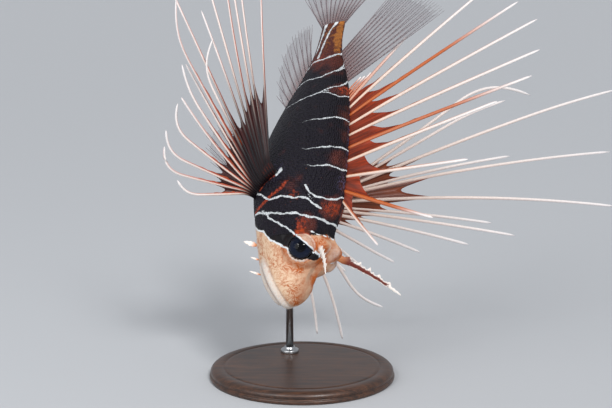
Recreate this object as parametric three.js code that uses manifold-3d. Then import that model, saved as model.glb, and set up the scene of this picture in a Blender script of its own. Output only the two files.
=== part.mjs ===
// Clearfin lionfish (Pterois radiata), an adult diving head down, as a life-size still model
// on a plain display stand: a round base and one rod that holds the fish by its belly.
// Units are millimetres, +Z up, with the origin in the middle of the base's underside.
//
// The fish is shaped straight first, in three measures: t runs from the snout tip to the tail
// root, side is towards the fish's left and rise is towards its back. pose() then bends and
// turns that straight fish into the dive.
import * as THREE from "three";
import Module from "manifold-3d";
import { mergeVertices } from "three/addons/utils/BufferGeometryUtils.js";

const wasm = await Module();
wasm.setup();

// Driving dimensions
const STANDARD_LENGTH = 165;
const NOSE_ROUNDING = 11;
const PART_GAP = 0.35;

// The dive, seen by a viewer who looks down by VIEW_PITCH: how far the fish leans to the
// viewer's right and away from the viewer, at the head and behind it, and its roll.
const VIEW_PITCH = 10;
const SNOUT = { x: -6.2, y: -36.5, z: 45.5 };
const HEAD_LEAN = 5;
const TAIL_LEAN = 10.5;
const HEAD_TILT = 20;
const TAIL_TILT = 31;
const BEND_START = 50;
const BEND_END = 92;
const ROLL = 32;

// Display stand
const BASE_RADIUS = 48;
const BASE_THICKNESS = 6;
const BASE_EDGE = 1;
const ROD_RADIUS = 2;
const ROD_DEPTH_IN_FISH = 9;
const ROD_DEPTH_IN_BASE = 4;
const ROD_STATION = 98;

// Half depth above and below the midline and half breadth, at stations along the fish
const BODY_STATIONS = [
  { t: 0, back: 9.5, belly: 10.5, breadth: 9.5 },
  { t: 7, back: 10.4, belly: 12.6, breadth: 10.6 },
  { t: 15, back: 11.6, belly: 16.6, breadth: 11.8 },
  { t: 24, back: 13.6, belly: 19.4, breadth: 12.8 },
  { t: 34, back: 19.2, belly: 21.8, breadth: 13.8 },
  { t: 46, back: 25, belly: 24.4, breadth: 15.2 },
  { t: 60, back: 26.6, belly: 26.6, breadth: 16 },
  { t: 76, back: 26.2, belly: 26.8, breadth: 15.2 },
  { t: 94, back: 23.8, belly: 23.8, breadth: 12.8 },
  { t: 112, back: 20.4, belly: 18.6, breadth: 9.6 },
  { t: 128, back: 15.2, belly: 12.8, breadth: 6.6 },
  { t: 142, back: 10, belly: 9, breadth: 4.6 },
  { t: 154, back: 7.6, belly: 7.8, breadth: 3.3 },
  { t: STANDARD_LENGTH, back: 7.4, belly: 7.8, breadth: 1.9 },
];

const BACK_NARROWS = 0.3;
const BELLY_NARROWS = 0.16;

// Where the flesh is parted into pieces
const HEAD_END = 53;
const TRUNK_END = 118;
const COVER_THICKNESS = 2.4;
const JAW_HINGE = { t: 25, rise: -15.6 };

const EYE = { t: 26, side: 10, rise: 10.6, radius: 6.3 };
const BROW = { t: 25, side: 6, rise: 17, height: 14, spread: 4.8 };

const rad = THREE.MathUtils.degToRad;
const mix = THREE.MathUtils.lerp;
const clamp01 = (x) => THREE.MathUtils.clamp(x, 0, 1);
const ease = (x, from, to) => THREE.MathUtils.smoothstep(x, from, to);
const vec = (x, y, z) => new THREE.Vector3(x, y, z);

// The viewer's axes
const ACROSS = vec(1, 0, 0);
const UPWARD = vec(0, Math.sin(rad(VIEW_PITCH)), Math.cos(rad(VIEW_PITCH)));
const AWAY = vec(0, Math.cos(rad(VIEW_PITCH)), -Math.sin(rad(VIEW_PITCH)));

// One measure of the body at station t, on a smooth curve through the stations
function bodyMeasure(key, t) {
  const last = BODY_STATIONS.length - 1;
  const place = THREE.MathUtils.clamp(t, 0, STANDARD_LENGTH);
  let i = 0;
  while (i < last - 1 && place > BODY_STATIONS[i + 1].t) i++;
  const here = BODY_STATIONS[i];
  const next = BODY_STATIONS[i + 1];
  const slope = (j) => {
    const a = BODY_STATIONS[Math.max(j - 1, 0)];
    const b = BODY_STATIONS[Math.min(j + 1, last)];
    return (b[key] - a[key]) / (b.t - a.t);
  };
  const span = next.t - here.t;
  const u = (place - here.t) / span;
  const bulge = (1 - u) * slope(i) - u * slope(i + 1);
  const straight = mix(here[key], next[key], u * u * (3 - 2 * u));
  return straight + u * (1 - u) * span * bulge;
}

// The direction of the backbone towards the tail, and the fish's own up and left there
function axesAt(t) {
  const bend = ease(t, BEND_START, BEND_END);
  const lean = rad(mix(HEAD_LEAN, TAIL_LEAN, bend));
  const tilt = rad(mix(HEAD_TILT, TAIL_TILT, bend));
  const tailward = ACROSS.clone()
    .multiplyScalar(Math.sin(lean))
    .addScaledVector(UPWARD, Math.cos(lean) * Math.cos(tilt))
    .addScaledVector(AWAY, Math.cos(lean) * Math.sin(tilt));
  const rightward = ACROSS.clone()
    .addScaledVector(tailward, -ACROSS.dot(tailward))
    .normalize();
  const viewerward = rightward.clone().cross(tailward);
  const up = rightward
    .clone()
    .multiplyScalar(Math.cos(rad(ROLL)))
    .addScaledVector(viewerward, Math.sin(rad(ROLL)));
  const left = tailward.clone().cross(up);
  return { tailward, up, left };
}

// The backbone, walked in whole millimetres from the snout tip
const BACKBONE = [vec(SNOUT.x, SNOUT.y, SNOUT.z)];
for (let t = 0; t < STANDARD_LENGTH + 10; t++)
  BACKBONE.push(BACKBONE[t].clone().add(axesAt(t + 0.5).tailward));

function pose(t, side, rise) {
  const i = Math.floor(THREE.MathUtils.clamp(t, 0, STANDARD_LENGTH + 9));
  const { tailward, up, left } = axesAt(t);
  return BACKBONE[i]
    .clone()
    .addScaledVector(tailward, t - i)
    .addScaledVector(left, side)
    .addScaledVector(up, rise);
}

// A direction given in the straight fish, at station t
function poseDirection(t, tail, side, rise) {
  const { tailward, up, left } = axesAt(t);
  return vec(0, 0, 0)
    .addScaledVector(tailward, tail)
    .addScaledVector(left, side)
    .addScaledVector(up, rise)
    .normalize();
}

// How far the brow over an eye lifts the skin at a point of the straight fish
function browLift(t, side, rise) {
  const away =
    (t - BROW.t) ** 2 + (Math.abs(side) - BROW.side) ** 2 + (rise - BROW.rise) ** 2;
  return BROW.height * Math.exp(-away / (2 * BROW.spread ** 2));
}

// A point of the skin: turn is 0 on the back, a quarter turn on the left and half on the belly
function skin(t, turn, grow = 0) {
  const noseShare = clamp01(t / NOSE_ROUNDING);
  const round = Math.sqrt(Math.max(1 - (1 - noseShare) ** 2, 0));
  const up = Math.cos(turn);
  const height = bodyMeasure(up > 0 ? "back" : "belly", t) * up * round;
  const narrow = up > 0 ? BACK_NARROWS * clamp01(t / HEAD_END) : BELLY_NARROWS;
  const keel = 1 - narrow * up ** 2;
  const width = bodyMeasure("breadth", t) * Math.sin(turn) * keel * round;
  const reach = Math.hypot(width, height) || 1;
  const push = (grow + browLift(t, width, height) * round) / reach;
  const forward = grow * (1 - noseShare);
  return vec(t - forward, width * (1 + push), height * (1 + push));
}

const onSkin = (t, turn, grow = 0) => {
  const p = skin(t, turn, grow);
  return pose(p.x, p.y, p.z);
};

// Closed surfaces as a list of points and a list of triangles
function solidFrom(points, triangles) {
  const made = new wasm.Manifold(
    new wasm.Mesh({
      numProp: 3,
      vertProperties: new Float32Array(points.flatMap((p) => [p.x, p.y, p.z])),
      triVerts: new Uint32Array(triangles.flat()),
    }),
  );
  if (made.volume() > 0) return made;
  return solidFrom(
    points,
    triangles.map(([a, b, c]) => [a, c, b]),
  );
}

function solidOf(geometry) {
  const bare = geometry.clone();
  bare.deleteAttribute("normal");
  bare.deleteAttribute("uv");
  const merged = mergeVertices(bare, 1e-3);
  const place = merged.attributes.position;
  const points = [];
  for (let i = 0; i < place.count; i++)
    points.push(vec(place.getX(i), place.getY(i), place.getZ(i)));
  const triangles = [];
  for (let i = 0; i < merged.index.count; i += 3)
    triangles.push([0, 1, 2].map((k) => merged.index.getX(i + k)));
  return solidFrom(points, triangles);
}

function geometryOf(solid) {
  const mesh = solid.getMesh();
  const geometry = new THREE.BufferGeometry();
  geometry.setAttribute("position", new THREE.BufferAttribute(mesh.vertProperties, 3));
  geometry.setIndex(new THREE.BufferAttribute(mesh.triVerts, 1));
  geometry.computeVertexNormals();
  return geometry;
}

// Rings of equally many points, closed by one point or a flat cap at each end
function loft(rings) {
  const size = rings[0].length;
  const points = rings.flat();
  const triangles = [];
  for (let r = 0; r + 1 < rings.length; r++)
    for (let i = 0; i < size; i++) {
      const a = r * size + i;
      const b = r * size + ((i + 1) % size);
      triangles.push([a, b, b + size], [a, b + size, a + size]);
    }
  const cap = (first, flip) => {
    const middle = points.length;
    const centre = vec(0, 0, 0);
    for (let i = 0; i < size; i++) centre.addScaledVector(points[first + i], 1 / size);
    points.push(centre);
    for (let i = 0; i < size; i++) {
      const next = first + ((i + 1) % size);
      triangles.push(flip ? [middle, next, first + i] : [middle, first + i, next]);
    }
  };
  cap(0, true);
  cap((rings.length - 1) * size, false);
  return solidFrom(points, triangles);
}

const BODY_RINGS = [
  0.15, 1, 2.8, 6, 10, 14, 18, 22, 25, 28, 31, 35, 41, 48, 56, 65, 74, 84, 94, 104, 114, 124,
  134, 144, 154, STANDARD_LENGTH,
];
const AROUND_BODY = 24;

function body(grow = 0) {
  const rings = BODY_RINGS.map((t) => {
    const ring = [];
    for (let i = 0; i < AROUND_BODY; i++)
      ring.push(onSkin(t, (2 * Math.PI * i) / AROUND_BODY, grow));
    return ring;
  });
  return loft(rings);
}

// A prism through the fish from side to side, given by its outline in t and rise
function sideCut(outline, from, to) {
  const ring = (side) => outline.map(([t, rise]) => pose(t, side, rise));
  return loft([ring(from), ring(to)]);
}

// A slice across the fish at one station, as thick as the gap between two pieces
function crossCut(t, thickness = PART_GAP) {
  const reach = 60;
  return sideCut(
    [
      [t - thickness / 2, -reach],
      [t + thickness / 2, -reach],
      [t + thickness / 2, reach],
      [t - thickness / 2, reach],
    ],
    -reach,
    reach,
  );
}

function eyeBall(mirror, grow = 0) {
  const centre = pose(EYE.t, EYE.side * mirror, EYE.rise);
  return solidOf(new THREE.SphereGeometry(EYE.radius + grow, 14, 9).translate(...centre));
}

// A fan of tapering rays joined by webs. A ray has points, half widths and half thicknesses,
// all of one count, and the number of its stations that a web reaches on either side of it.
function webbedFan(rays) {
  const stations = rays[0].points.length;
  const points = [];
  const triangles = [];
  const [LEFT_TOP, RIGHT_TOP, RIGHT_LOW, LEFT_LOW] = [0, 1, 2, 3];
  const at = (ray, station, corner) => (ray * stations + station) * 4 + corner;
  const quad = (a, b, c, d) => triangles.push([a, b, c], [a, c, d]);
  rays.forEach((ray, i) => {
    const before = rays[Math.max(i - 1, 0)];
    const after = rays[Math.min(i + 1, rays.length - 1)];
    ray.points.forEach((p, k) => {
      const forward = ray.points[Math.min(k + 1, stations - 1)]
        .clone()
        .sub(ray.points[Math.max(k - 1, 0)])
        .normalize();
      const beside = after.points[k].clone().sub(before.points[k]);
      const normal = forward.clone().cross(beside).normalize();
      const over = normal.clone().cross(forward).normalize();
      const corner = (x, y) =>
        points.push(p.clone().addScaledVector(over, x).addScaledVector(normal, y));
      corner(-ray.halfWidth[k], ray.halfThick[k]);
      corner(ray.halfWidth[k], ray.halfThick[k]);
      corner(ray.halfWidth[k], -ray.halfThick[k]);
      corner(-ray.halfWidth[k], -ray.halfThick[k]);
    });
  });
  rays.forEach((ray, i) => {
    const webNext = i + 1 < rays.length ? ray.webNext : 0;
    const webBefore = i > 0 ? ray.webBefore : 0;
    const strip = (k, a, b) => quad(at(i, k, a), at(i, k, b), at(i, k + 1, b), at(i, k + 1, a));
    for (let k = 0; k + 1 < stations; k++) {
      strip(k, LEFT_TOP, RIGHT_TOP);
      strip(k, RIGHT_LOW, LEFT_LOW);
      if (k >= webNext) strip(k, RIGHT_TOP, RIGHT_LOW);
      if (k >= webBefore) strip(k, LEFT_LOW, LEFT_TOP);
    }
    const end = (k, order) => quad(...order.map((corner) => at(i, k, corner)));
    end(0, [LEFT_TOP, LEFT_LOW, RIGHT_LOW, RIGHT_TOP]);
    end(stations - 1, [LEFT_TOP, RIGHT_TOP, RIGHT_LOW, LEFT_LOW]);
  });
  for (let i = 0; i + 1 < rays.length; i++) {
    const m = rays[i].webNext;
    const n = rays[i + 1].webBefore;
    const web = (a, b, stepHere) => {
      const [top, low] = [at(i, a, RIGHT_TOP), at(i, a, RIGHT_LOW)];
      const [nextTop, nextLow] = [at(i + 1, b, LEFT_TOP), at(i + 1, b, LEFT_LOW)];
      const [onTop, onLow] = stepHere ? [top + 4, low + 4] : [nextTop + 4, nextLow + 4];
      triangles.push([top, nextTop, onTop], [low, onLow, nextLow]);
    };
    for (let a = 0, b = 0; a < m || b < n; ) {
      const stepHere = b >= n || (a < m && (a + 1) * n <= (b + 1) * m);
      web(a, b, stepHere);
      if (stepHere) a++;
      else b++;
    }
    quad(
      at(i, m, RIGHT_TOP),
      at(i + 1, n, LEFT_TOP),
      at(i + 1, n, LEFT_LOW),
      at(i, m, RIGHT_LOW),
    );
    quad(
      at(i + 1, 0, LEFT_TOP),
      at(i, 0, RIGHT_TOP),
      at(i, 0, RIGHT_LOW),
      at(i + 1, 0, LEFT_LOW),
    );
  }
  return solidFrom(points, triangles);
}

// A ray's taper: thin where it leaves the fish beside its neighbours, full soon after,
// and fine at the tip
const RAY_FULL_AT = 0.12;
const RAY_SLIMMING = 1.6;

function taper(shares, root, full, tip) {
  return shares.map((s) => {
    if (s < RAY_FULL_AT) return mix(root, full, s / RAY_FULL_AT);
    return mix(full, tip, ((s - RAY_FULL_AT) / (1 - RAY_FULL_AT)) ** RAY_SLIMMING);
  });
}

// Points along a curve of a given length, at shares of it. It starts at one point and at each
// share heads where directionAt says.
function follow(start, length, directionAt, shares) {
  const steps = 50;
  const path = [start];
  for (let i = 0; i < steps; i++) {
    const go = directionAt((i + 0.5) / steps).normalize();
    path.push(path[i].clone().addScaledVector(go, length / steps));
  }
  return shares.map((s) => {
    const i = Math.min(Math.floor(s * steps), steps - 1);
    return path[i].clone().lerp(path[i + 1], s * steps - i);
  });
}

// Pectoral fins, from the uppermost ray to the lowest. Each ray leaves the flank sideways and
// then turns to its own heading, an angle in the viewer's plane that is counted from the
// viewer's right; bend is spread over the ray's length and curl is kept for its last part.
const PECTORAL_ROOT = { t: [64, 55.5], turn: [99, 147] };
const LEAVES_SIDEWAYS_FOR = 14;
const CURL_FROM = 0.66;
const LEAVES_TAILWARD_BY = 0.15;
const UNEVEN_FAN = { amount: 0.05, pace: 2.3 };
const ROOT_DEPTH = 0.9;
const RIGHT_PECTORAL = {
  mirror: -1,
  away: [0.14, -0.3],
  lengths: [142, 150, 152, 146, 138, 91, 118, 80, 104, 73, 75, 62, 65, 61, 59, 45],
  headings: [95, 101, 102, 106, 106, 108, 115, 116, 119, 122, 128, 136, 145, 158, 169, 185],
  bends: [-5, -6, -5, -12, 0, 3, 0, 0, 0, -4, -8, -14, -6, -4, -6, -6],
  curls: [0, 4, 0, 0, 0, 0, 0, -48, -32, 0, -18, 0, -62, -62, -78, -60],
};
const LEFT_PECTORAL = {
  mirror: 1,
  away: [0.34, 0.16],
  lengths: [150, 132, 190, 124, 184, 180, 114, 126, 102, 80, 68, 58, 52, 80, 83, 74],
  headings: [32, 29, 24, 18, 15, 6, -2, -5, -9, -15, -23, -31, -38, -33, -44, -58],
  bends: [8, 2, -6, -9, -10, -12, -6, -5, -6, -8, -10, -16, -20, -38, -40, -28],
  curls: [-58, -12, -3, 0, 0, 0, 0, 0, 0, 0, 6, 10, 16, 50, 4, 0],
};
const PECTORAL_STATIONS = [0, 0.05, 0.14, 0.28, 0.4, 0.55, 0.72, 0.87, 1];

// The number of stations that the web reaches on a ray: more on a short ray than on a long one
const LONG_RAY = 130;
const SHORT_RAY = 90;

function webOnRay(length) {
  if (length > LONG_RAY) return 3;
  return length > SHORT_RAY ? 4 : 5;
}

function pectoralRay(fin, j) {
  const q = j / (fin.lengths.length - 1);
  const length = fin.lengths[j];
  const t = mix(...PECTORAL_ROOT.t, q);
  const turn = rad(mix(...PECTORAL_ROOT.turn, q)) * fin.mirror;
  const sideways = poseDirection(t, LEAVES_TAILWARD_BY, fin.mirror, 0);
  const away = mix(...fin.away, q) + UNEVEN_FAN.amount * Math.sin(UNEVEN_FAN.pace * j);
  const directionAt = (s) => {
    const curl = fin.curls[j] * ease(s, CURL_FROM, 1);
    const heading = rad(fin.headings[j] + fin.bends[j] * s + curl);
    const free = ACROSS.clone()
      .multiplyScalar(Math.cos(heading))
      .addScaledVector(UPWARD, Math.sin(heading))
      .addScaledVector(AWAY, away)
      .normalize();
    return sideways.clone().lerp(free, ease(s * length, 0, LEAVES_SIDEWAYS_FOR));
  };
  return follow(onSkin(t, turn, -ROOT_DEPTH), length, directionAt, PECTORAL_STATIONS);
}

function pectoralFin(fin) {
  return webbedFan(
    fin.lengths.map((length, j) => ({
      points: pectoralRay(fin, j),
      halfWidth: taper(PECTORAL_STATIONS, 0.4, 0.8, 0.4),
      halfThick: taper(PECTORAL_STATIONS, 0.3, 0.55, 0.34),
      webNext: webOnRay(length),
      webBefore: webOnRay(length),
    })),
  );
}

// Median fins: a row of spines or rays along the back or belly. sweep is the angle between a
// ray and the way to the tail, and list is how far it tips towards the fish's left.
const DORSAL_SPINES = [
  { t: 52, length: 32, sweep: 141, list: 4 },
  { t: 57, length: 51, sweep: 112, list: 6 },
  { t: 64.5, length: 63, sweep: 89, list: 8 },
  { t: 72.5, length: 79, sweep: 73, list: 9 },
  { t: 80, length: 96, sweep: 72.5, list: 10 },
  { t: 87.5, length: 102, sweep: 68.5, list: 10 },
  { t: 94, length: 106, sweep: 61, list: 10 },
  { t: 100, length: 102, sweep: 54, list: 10 },
  { t: 105, length: 96, sweep: 43, list: 10 },
  { t: 109.5, length: 47, sweep: 33, list: 9 },
  { t: 111.9, length: 18, sweep: 33, list: 8 },
  { t: 114.2, length: 13, sweep: 34, list: 7 },
  { t: 116.6, length: 10, sweep: 36, list: 6 },
];
const SPINE_STATIONS = [0, 0.05, 0.12, 0.22, 0.36, 0.65, 1];
const SPINE_WEB_BEHIND = 4;
const SPINE_WEB_AHEAD = 2;
const LIST_GROWTH = 0.4;

const edgePoint = (t, below, grow) => onSkin(t, below ? Math.PI : 0, grow);

function medianRay({ t, length, sweep, list, droop = 3, below = false }, stations) {
  const side = Math.sin(rad(list));
  const directionAt = (s) => {
    const angle = rad(sweep - droop * s);
    const rise = Math.sin(angle) * Math.cos(rad(list)) * (below ? -1 : 1);
    return poseDirection(t, Math.cos(angle), side * s ** LIST_GROWTH, rise);
  };
  return follow(edgePoint(t, below, -ROOT_DEPTH), length, directionAt, stations);
}

function spinyDorsal() {
  return webbedFan(
    DORSAL_SPINES.map((spine) => ({
      points: medianRay(spine, SPINE_STATIONS),
      halfWidth: taper(SPINE_STATIONS, 0.6, 0.85, 0.36),
      halfThick: taper(SPINE_STATIONS, 0.45, 0.62, 0.34),
      webNext: SPINE_WEB_BEHIND,
      webBefore: SPINE_WEB_AHEAD,
    })),
  );
}

// A fin of soft rays whose web reaches almost to the tips. rayAt gives a ray's points from
// its share of the way along the fin's root.
const SOFT_STATIONS = [0, 0.12, 0.45, 0.88, 1];
const SOFT_RAY = { halfWidth: 0.5, halfThick: 0.34, tip: 0.3 };

function softFin(count, rayAt) {
  const { halfWidth, halfThick, tip } = SOFT_RAY;
  return webbedFan(
    Array.from({ length: count }, (_, j) => ({
      points: rayAt(j / (count - 1)),
      halfWidth: taper(SOFT_STATIONS, halfWidth, halfWidth, tip),
      halfThick: taper(SOFT_STATIONS, halfThick, halfThick, tip),
      webNext: SOFT_STATIONS.length - 2,
      webBefore: SOFT_STATIONS.length - 2,
    })),
  );
}

const bow = (q) => Math.sin(Math.PI * q);

const softDorsalRay = (q) =>
  medianRay(
    {
      t: mix(122.5, 144, q),
      length: mix(62, 44, q) + 3 * bow(q),
      sweep: mix(55, 37, q),
      list: 5,
      droop: 6,
    },
    SOFT_STATIONS,
  );

const analRay = (q) =>
  medianRay(
    {
      t: mix(112, 139, q),
      length: mix(15, 30, q) + 14 * bow(q),
      sweep: mix(40, 16, q),
      list: -3,
      droop: 8,
      below: true,
    },
    SOFT_STATIONS,
  );

const TAIL_FIN = { length: 46, spread: 33, rootAbove: 6.8, rootBelow: 7.2, flick: 5 };

function tailRay(q) {
  const angle = rad(mix(TAIL_FIN.spread, -TAIL_FIN.spread, q));
  const length = TAIL_FIN.length * mix(0.86, 1, bow(q));
  const rise = mix(TAIL_FIN.rootAbove, -TAIL_FIN.rootBelow, q);
  const root = pose(STANDARD_LENGTH - ROOT_DEPTH, 0, rise);
  const go = poseDirection(STANDARD_LENGTH, Math.cos(angle), 0, Math.sin(angle));
  const leftward = poseDirection(STANDARD_LENGTH, 0, 1, 0);
  return SOFT_STATIONS.map((s) =>
    root
      .clone()
      .addScaledVector(go, length * s)
      .addScaledVector(leftward, TAIL_FIN.flick * s * s),
  );
}

const PELVIC_FIN = {
  t: [60, 66],
  turn: [168, 160],
  swing: [52, 26],
  outward: [0.2, 0.42],
  length: [34, 44],
};

const pelvicRay = (mirror) => (q) => {
  const t = mix(...PELVIC_FIN.t, q);
  const turn = rad(mix(...PELVIC_FIN.turn, q)) * mirror;
  const root = onSkin(t, turn, -ROOT_DEPTH);
  const swing = rad(mix(...PELVIC_FIN.swing, q));
  const outward = mirror * mix(...PELVIC_FIN.outward, q);
  const go = poseDirection(t, Math.cos(swing), outward, -Math.sin(swing));
  const length = mix(...PELVIC_FIN.length, bow(q));
  return SOFT_STATIONS.map((s) => root.clone().addScaledVector(go, length * s));
};

// The horn-like tentacle on each brow, a flattened tapering blade with a ragged rear edge.
// The right one points more towards the snout than the left.
const HORN = {
  t: 26,
  rise: 20,
  side: 9,
  length: 36,
  halfBreadth: 1.6,
  halfThick: 0.7,
  tip: 0.34,
  rag: [0.22, 1.32],
  bow: 1.2,
};
const HORN_HEADINGS = {
  left: { tail: -0.36, side: 0.7, rise: 0.6 },
  right: { tail: -0.6, side: -0.6, rise: 0.52 },
};

// A blade with a four-cornered section: its corners lie ahead and behind, over and under
function blade(sections, broad, flat) {
  return loft(
    sections.map(({ centre, ahead, behind, thick }) => [
      centre.clone().addScaledVector(broad, ahead),
      centre.clone().addScaledVector(flat, thick),
      centre.clone().addScaledVector(broad, -behind),
      centre.clone().addScaledVector(flat, -thick),
    ]),
  );
}

function horn(word, mirror) {
  const { tail, side, rise } = HORN_HEADINGS[word];
  const root = pose(HORN.t, HORN.side * mirror, HORN.rise);
  const go = poseDirection(HORN.t, tail, side, rise);
  const flat = go.clone().cross(poseDirection(HORN.t, 0.8, 0, 0.5)).normalize();
  const broad = flat.clone().cross(go).normalize();
  const sections = [0, 0.1, 0.22, 0.34, 0.46, 0.58, 0.7, 0.84, 1].map((s, i) => {
    const slim = HORN.halfBreadth * (1 - s) ** 0.8 + HORN.tip;
    const ragged = i > 1 && i < 7 ? HORN.rag[i % 2] : 0;
    return {
      centre: root
        .clone()
        .addScaledVector(go, HORN.length * s)
        .addScaledVector(broad, HORN.bow * bow(s)),
      ahead: slim + ragged,
      behind: slim,
      thick: HORN.tip + HORN.halfThick * (1 - s),
    };
  });
  return blade(sections, broad, flat);
}

// Small flaps of skin along the jaw and cheek, each a leaf that grows from the head
const FLAPS = [
  { t: 32, turn: 156, length: 7.5, breadth: 1.6 },
  { t: 24.5, turn: 156, length: 4.5, breadth: 0.7 },
  { t: 16.5, turn: 154, length: 6.5, breadth: 0.7 },
];
const FLAP_HALF_THICK = 0.3;
const FLAP_LEAN = 0.3;

function flap({ t, turn, length, breadth }, mirror) {
  const root = onSkin(t, rad(turn) * mirror, -ROOT_DEPTH);
  const outward = onSkin(t, rad(turn) * mirror, 1).sub(root).normalize();
  const tailward = poseDirection(t, 1, 0, 0);
  const go = outward.addScaledVector(tailward, FLAP_LEAN).normalize();
  const flat = go.clone().cross(tailward).normalize();
  const broad = flat.clone().cross(go).normalize();
  const sections = [0, 0.35, 0.7, 1].map((s) => {
    const wide = Math.max(breadth * bow(0.12 + 0.86 * s), FLAP_HALF_THICK);
    return {
      centre: root.clone().addScaledVector(go, (length + ROOT_DEPTH) * s),
      ahead: wide,
      behind: wide,
      thick: FLAP_HALF_THICK,
    };
  });
  return blade(sections, broad, flat);
}

// The gill cover's edge in t and rise: a slanting ellipse that reaches past the head's end
const COVER = { t: 46.5, rise: -4, halfLength: 13, halfHeight: 16.5, slant: 3, corners: 16 };

function coverOutline(grow) {
  return Array.from({ length: COVER.corners }, (_, i) => {
    const a = (2 * Math.PI * i) / COVER.corners;
    const rise = (COVER.halfHeight + grow) * Math.sin(a) + COVER.slant * Math.cos(a);
    return [COVER.t + (COVER.halfLength + grow) * Math.cos(a), COVER.rise + rise];
  });
}

// The lower jaw lies below the mouth's line, which drops back from the snout tip
function jawOutline(grow) {
  return [
    [-6, -3 + grow],
    [3, -5 + grow],
    [14, -11 + grow],
    [JAW_HINGE.t + grow, JAW_HINGE.rise + grow],
    [JAW_HINGE.t + grow, -40],
    [-6, -40],
  ];
}

function fleshPieces() {
  const whole = body();
  const core = body(-COVER_THICKNESS);
  const deeper = body(-COVER_THICKNESS - PART_GAP);
  const cover = (mirror) =>
    whole.intersect(sideCut(coverOutline(0), 4 * mirror, 40 * mirror)).subtract(core);
  const coverBed = (mirror) =>
    sideCut(coverOutline(PART_GAP), 3 * mirror, 41 * mirror).subtract(deeper);
  let rest = whole.subtract(coverBed(1)).subtract(coverBed(-1));
  rest = rest.subtract(eyeBall(1, PART_GAP)).subtract(eyeBall(-1, PART_GAP));
  rest = rest.subtract(crossCut(HEAD_END)).subtract(crossCut(TRUNK_END));
  const part = (from, to) => rest.intersect(crossCut((from + to) / 2, to - from));
  const front = part(-20, HEAD_END);
  const jawSide = sideCut(jawOutline(0), -40, 40);
  const jawGap = sideCut(jawOutline(PART_GAP), -41, 41);
  return {
    head: front.subtract(jawGap),
    lower_jaw: front.intersect(jawSide),
    gill_cover_left: cover(1),
    gill_cover_right: cover(-1),
    trunk: part(HEAD_END, TRUNK_END),
    tail_stem: part(TRUNK_END, STANDARD_LENGTH + 20),
  };
}

// The stand's rod rises straight from the base into the belly
const rodTop = edgePoint(ROD_STATION, true, -ROD_DEPTH_IN_FISH);
const rodFoot = BASE_THICKNESS - ROD_DEPTH_IN_BASE;

function rod(radius, from, to) {
  const shape = new THREE.CylinderGeometry(radius, radius, to - from, 16);
  shape.rotateX(Math.PI / 2).translate(rodTop.x, rodTop.y, (from + to) / 2);
  return solidOf(shape);
}

// The rod with a gap all round it, to cut its sockets in the base and the belly
const rodSocket = rod(ROD_RADIUS + PART_GAP, rodFoot - PART_GAP, rodTop.z + PART_GAP);

function standBase() {
  const profile = [
    [0, 0],
    [BASE_RADIUS, 0],
    [BASE_RADIUS, BASE_THICKNESS - BASE_EDGE],
    [BASE_RADIUS - BASE_EDGE, BASE_THICKNESS],
    [0, BASE_THICKNESS],
  ].map(([r, z]) => new THREE.Vector2(r, z));
  const disc = new THREE.LatheGeometry(profile, 36).rotateX(Math.PI / 2);
  return solidOf(disc).subtract(rodSocket);
}

const MATERIALS = {
  dark_skin: { color: 0x2a1512, roughness: 0.55, metalness: 0 },
  face_skin: { color: 0xd08a5c, roughness: 0.55, metalness: 0 },
  fin_rays: { color: 0xeae0da, roughness: 0.5, metalness: 0 },
  fin_web: { color: 0x8a6a70, roughness: 0.6, metalness: 0 },
  eye: { color: 0x0c1020, roughness: 0.08, metalness: 0 },
  horn: { color: 0x4a2018, roughness: 0.6, metalness: 0 },
  steel: { color: 0xa8aaac, roughness: 0.3, metalness: 1 },
  dark_wood: { color: 0x2b1d15, roughness: 0.45, metalness: 0 },
};

const fish = new THREE.Group();

function add(name, solid, material) {
  const mesh = new THREE.Mesh(
    geometryOf(solid),
    new THREE.MeshStandardMaterial(MATERIALS[material]),
  );
  mesh.name = name;
  fish.add(mesh);
}

const flesh = fleshPieces();
for (const mirror of [1, -1])
  for (const leaf of FLAPS) {
    const holder = leaf.t < JAW_HINGE.t ? "lower_jaw" : "head";
    flesh[holder] = flesh[holder].add(flap(leaf, mirror));
  }
add("head", flesh.head, "face_skin");
add("lower_jaw", flesh.lower_jaw, "face_skin");
add("gill_cover_left", flesh.gill_cover_left, "dark_skin");
add("gill_cover_right", flesh.gill_cover_right, "dark_skin");
add("trunk", flesh.trunk.subtract(rodSocket), "dark_skin");
add("tail_stem", flesh.tail_stem, "dark_skin");

// Fins and horns end just clear of the skin
const clearance = body(PART_GAP);
for (const [word, mirror] of [
  ["left", 1],
  ["right", -1],
]) {
  const hornBase = clearance.add(eyeBall(mirror, PART_GAP));
  add("eye_" + word, eyeBall(mirror), "eye");
  add("horn_" + word, horn(word, mirror).subtract(hornBase), "horn");
  add("pelvic_fin_" + word, softFin(6, pelvicRay(mirror)).subtract(clearance), "fin_web");
}
add("pectoral_fin_left", pectoralFin(LEFT_PECTORAL).subtract(clearance), "fin_rays");
add("pectoral_fin_right", pectoralFin(RIGHT_PECTORAL).subtract(clearance), "fin_rays");
add("spiny_dorsal_fin", spinyDorsal().subtract(clearance), "fin_rays");
add("soft_dorsal_fin", softFin(11, softDorsalRay).subtract(clearance), "fin_web");
add("anal_fin", softFin(9, analRay).subtract(clearance), "fin_web");
add("tail_fin", softFin(13, tailRay).subtract(clearance), "fin_web");
add("stand_base", standBase(), "dark_wood");
add("stand_rod", rod(ROD_RADIUS, rodFoot, rodTop.z), "steel");

export default fish;
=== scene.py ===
"""A clearfin lionfish diving head down, as a life-size still model on a display stand.

Lengths in the functions are millimetres, like the CAD source's, and points turn to metres as
their mesh is made. The fish is shaped straight first: t runs from the snout tip to the tail
root, side is towards the fish's left and rise towards its back. pose() bends it into the dive.
"""

import math

import bpy
import numpy as np
from bpy.props import FloatProperty, FloatVectorProperty, PointerProperty
from mathutils import Matrix, Vector
from mathutils.kdtree import KDTree


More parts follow.
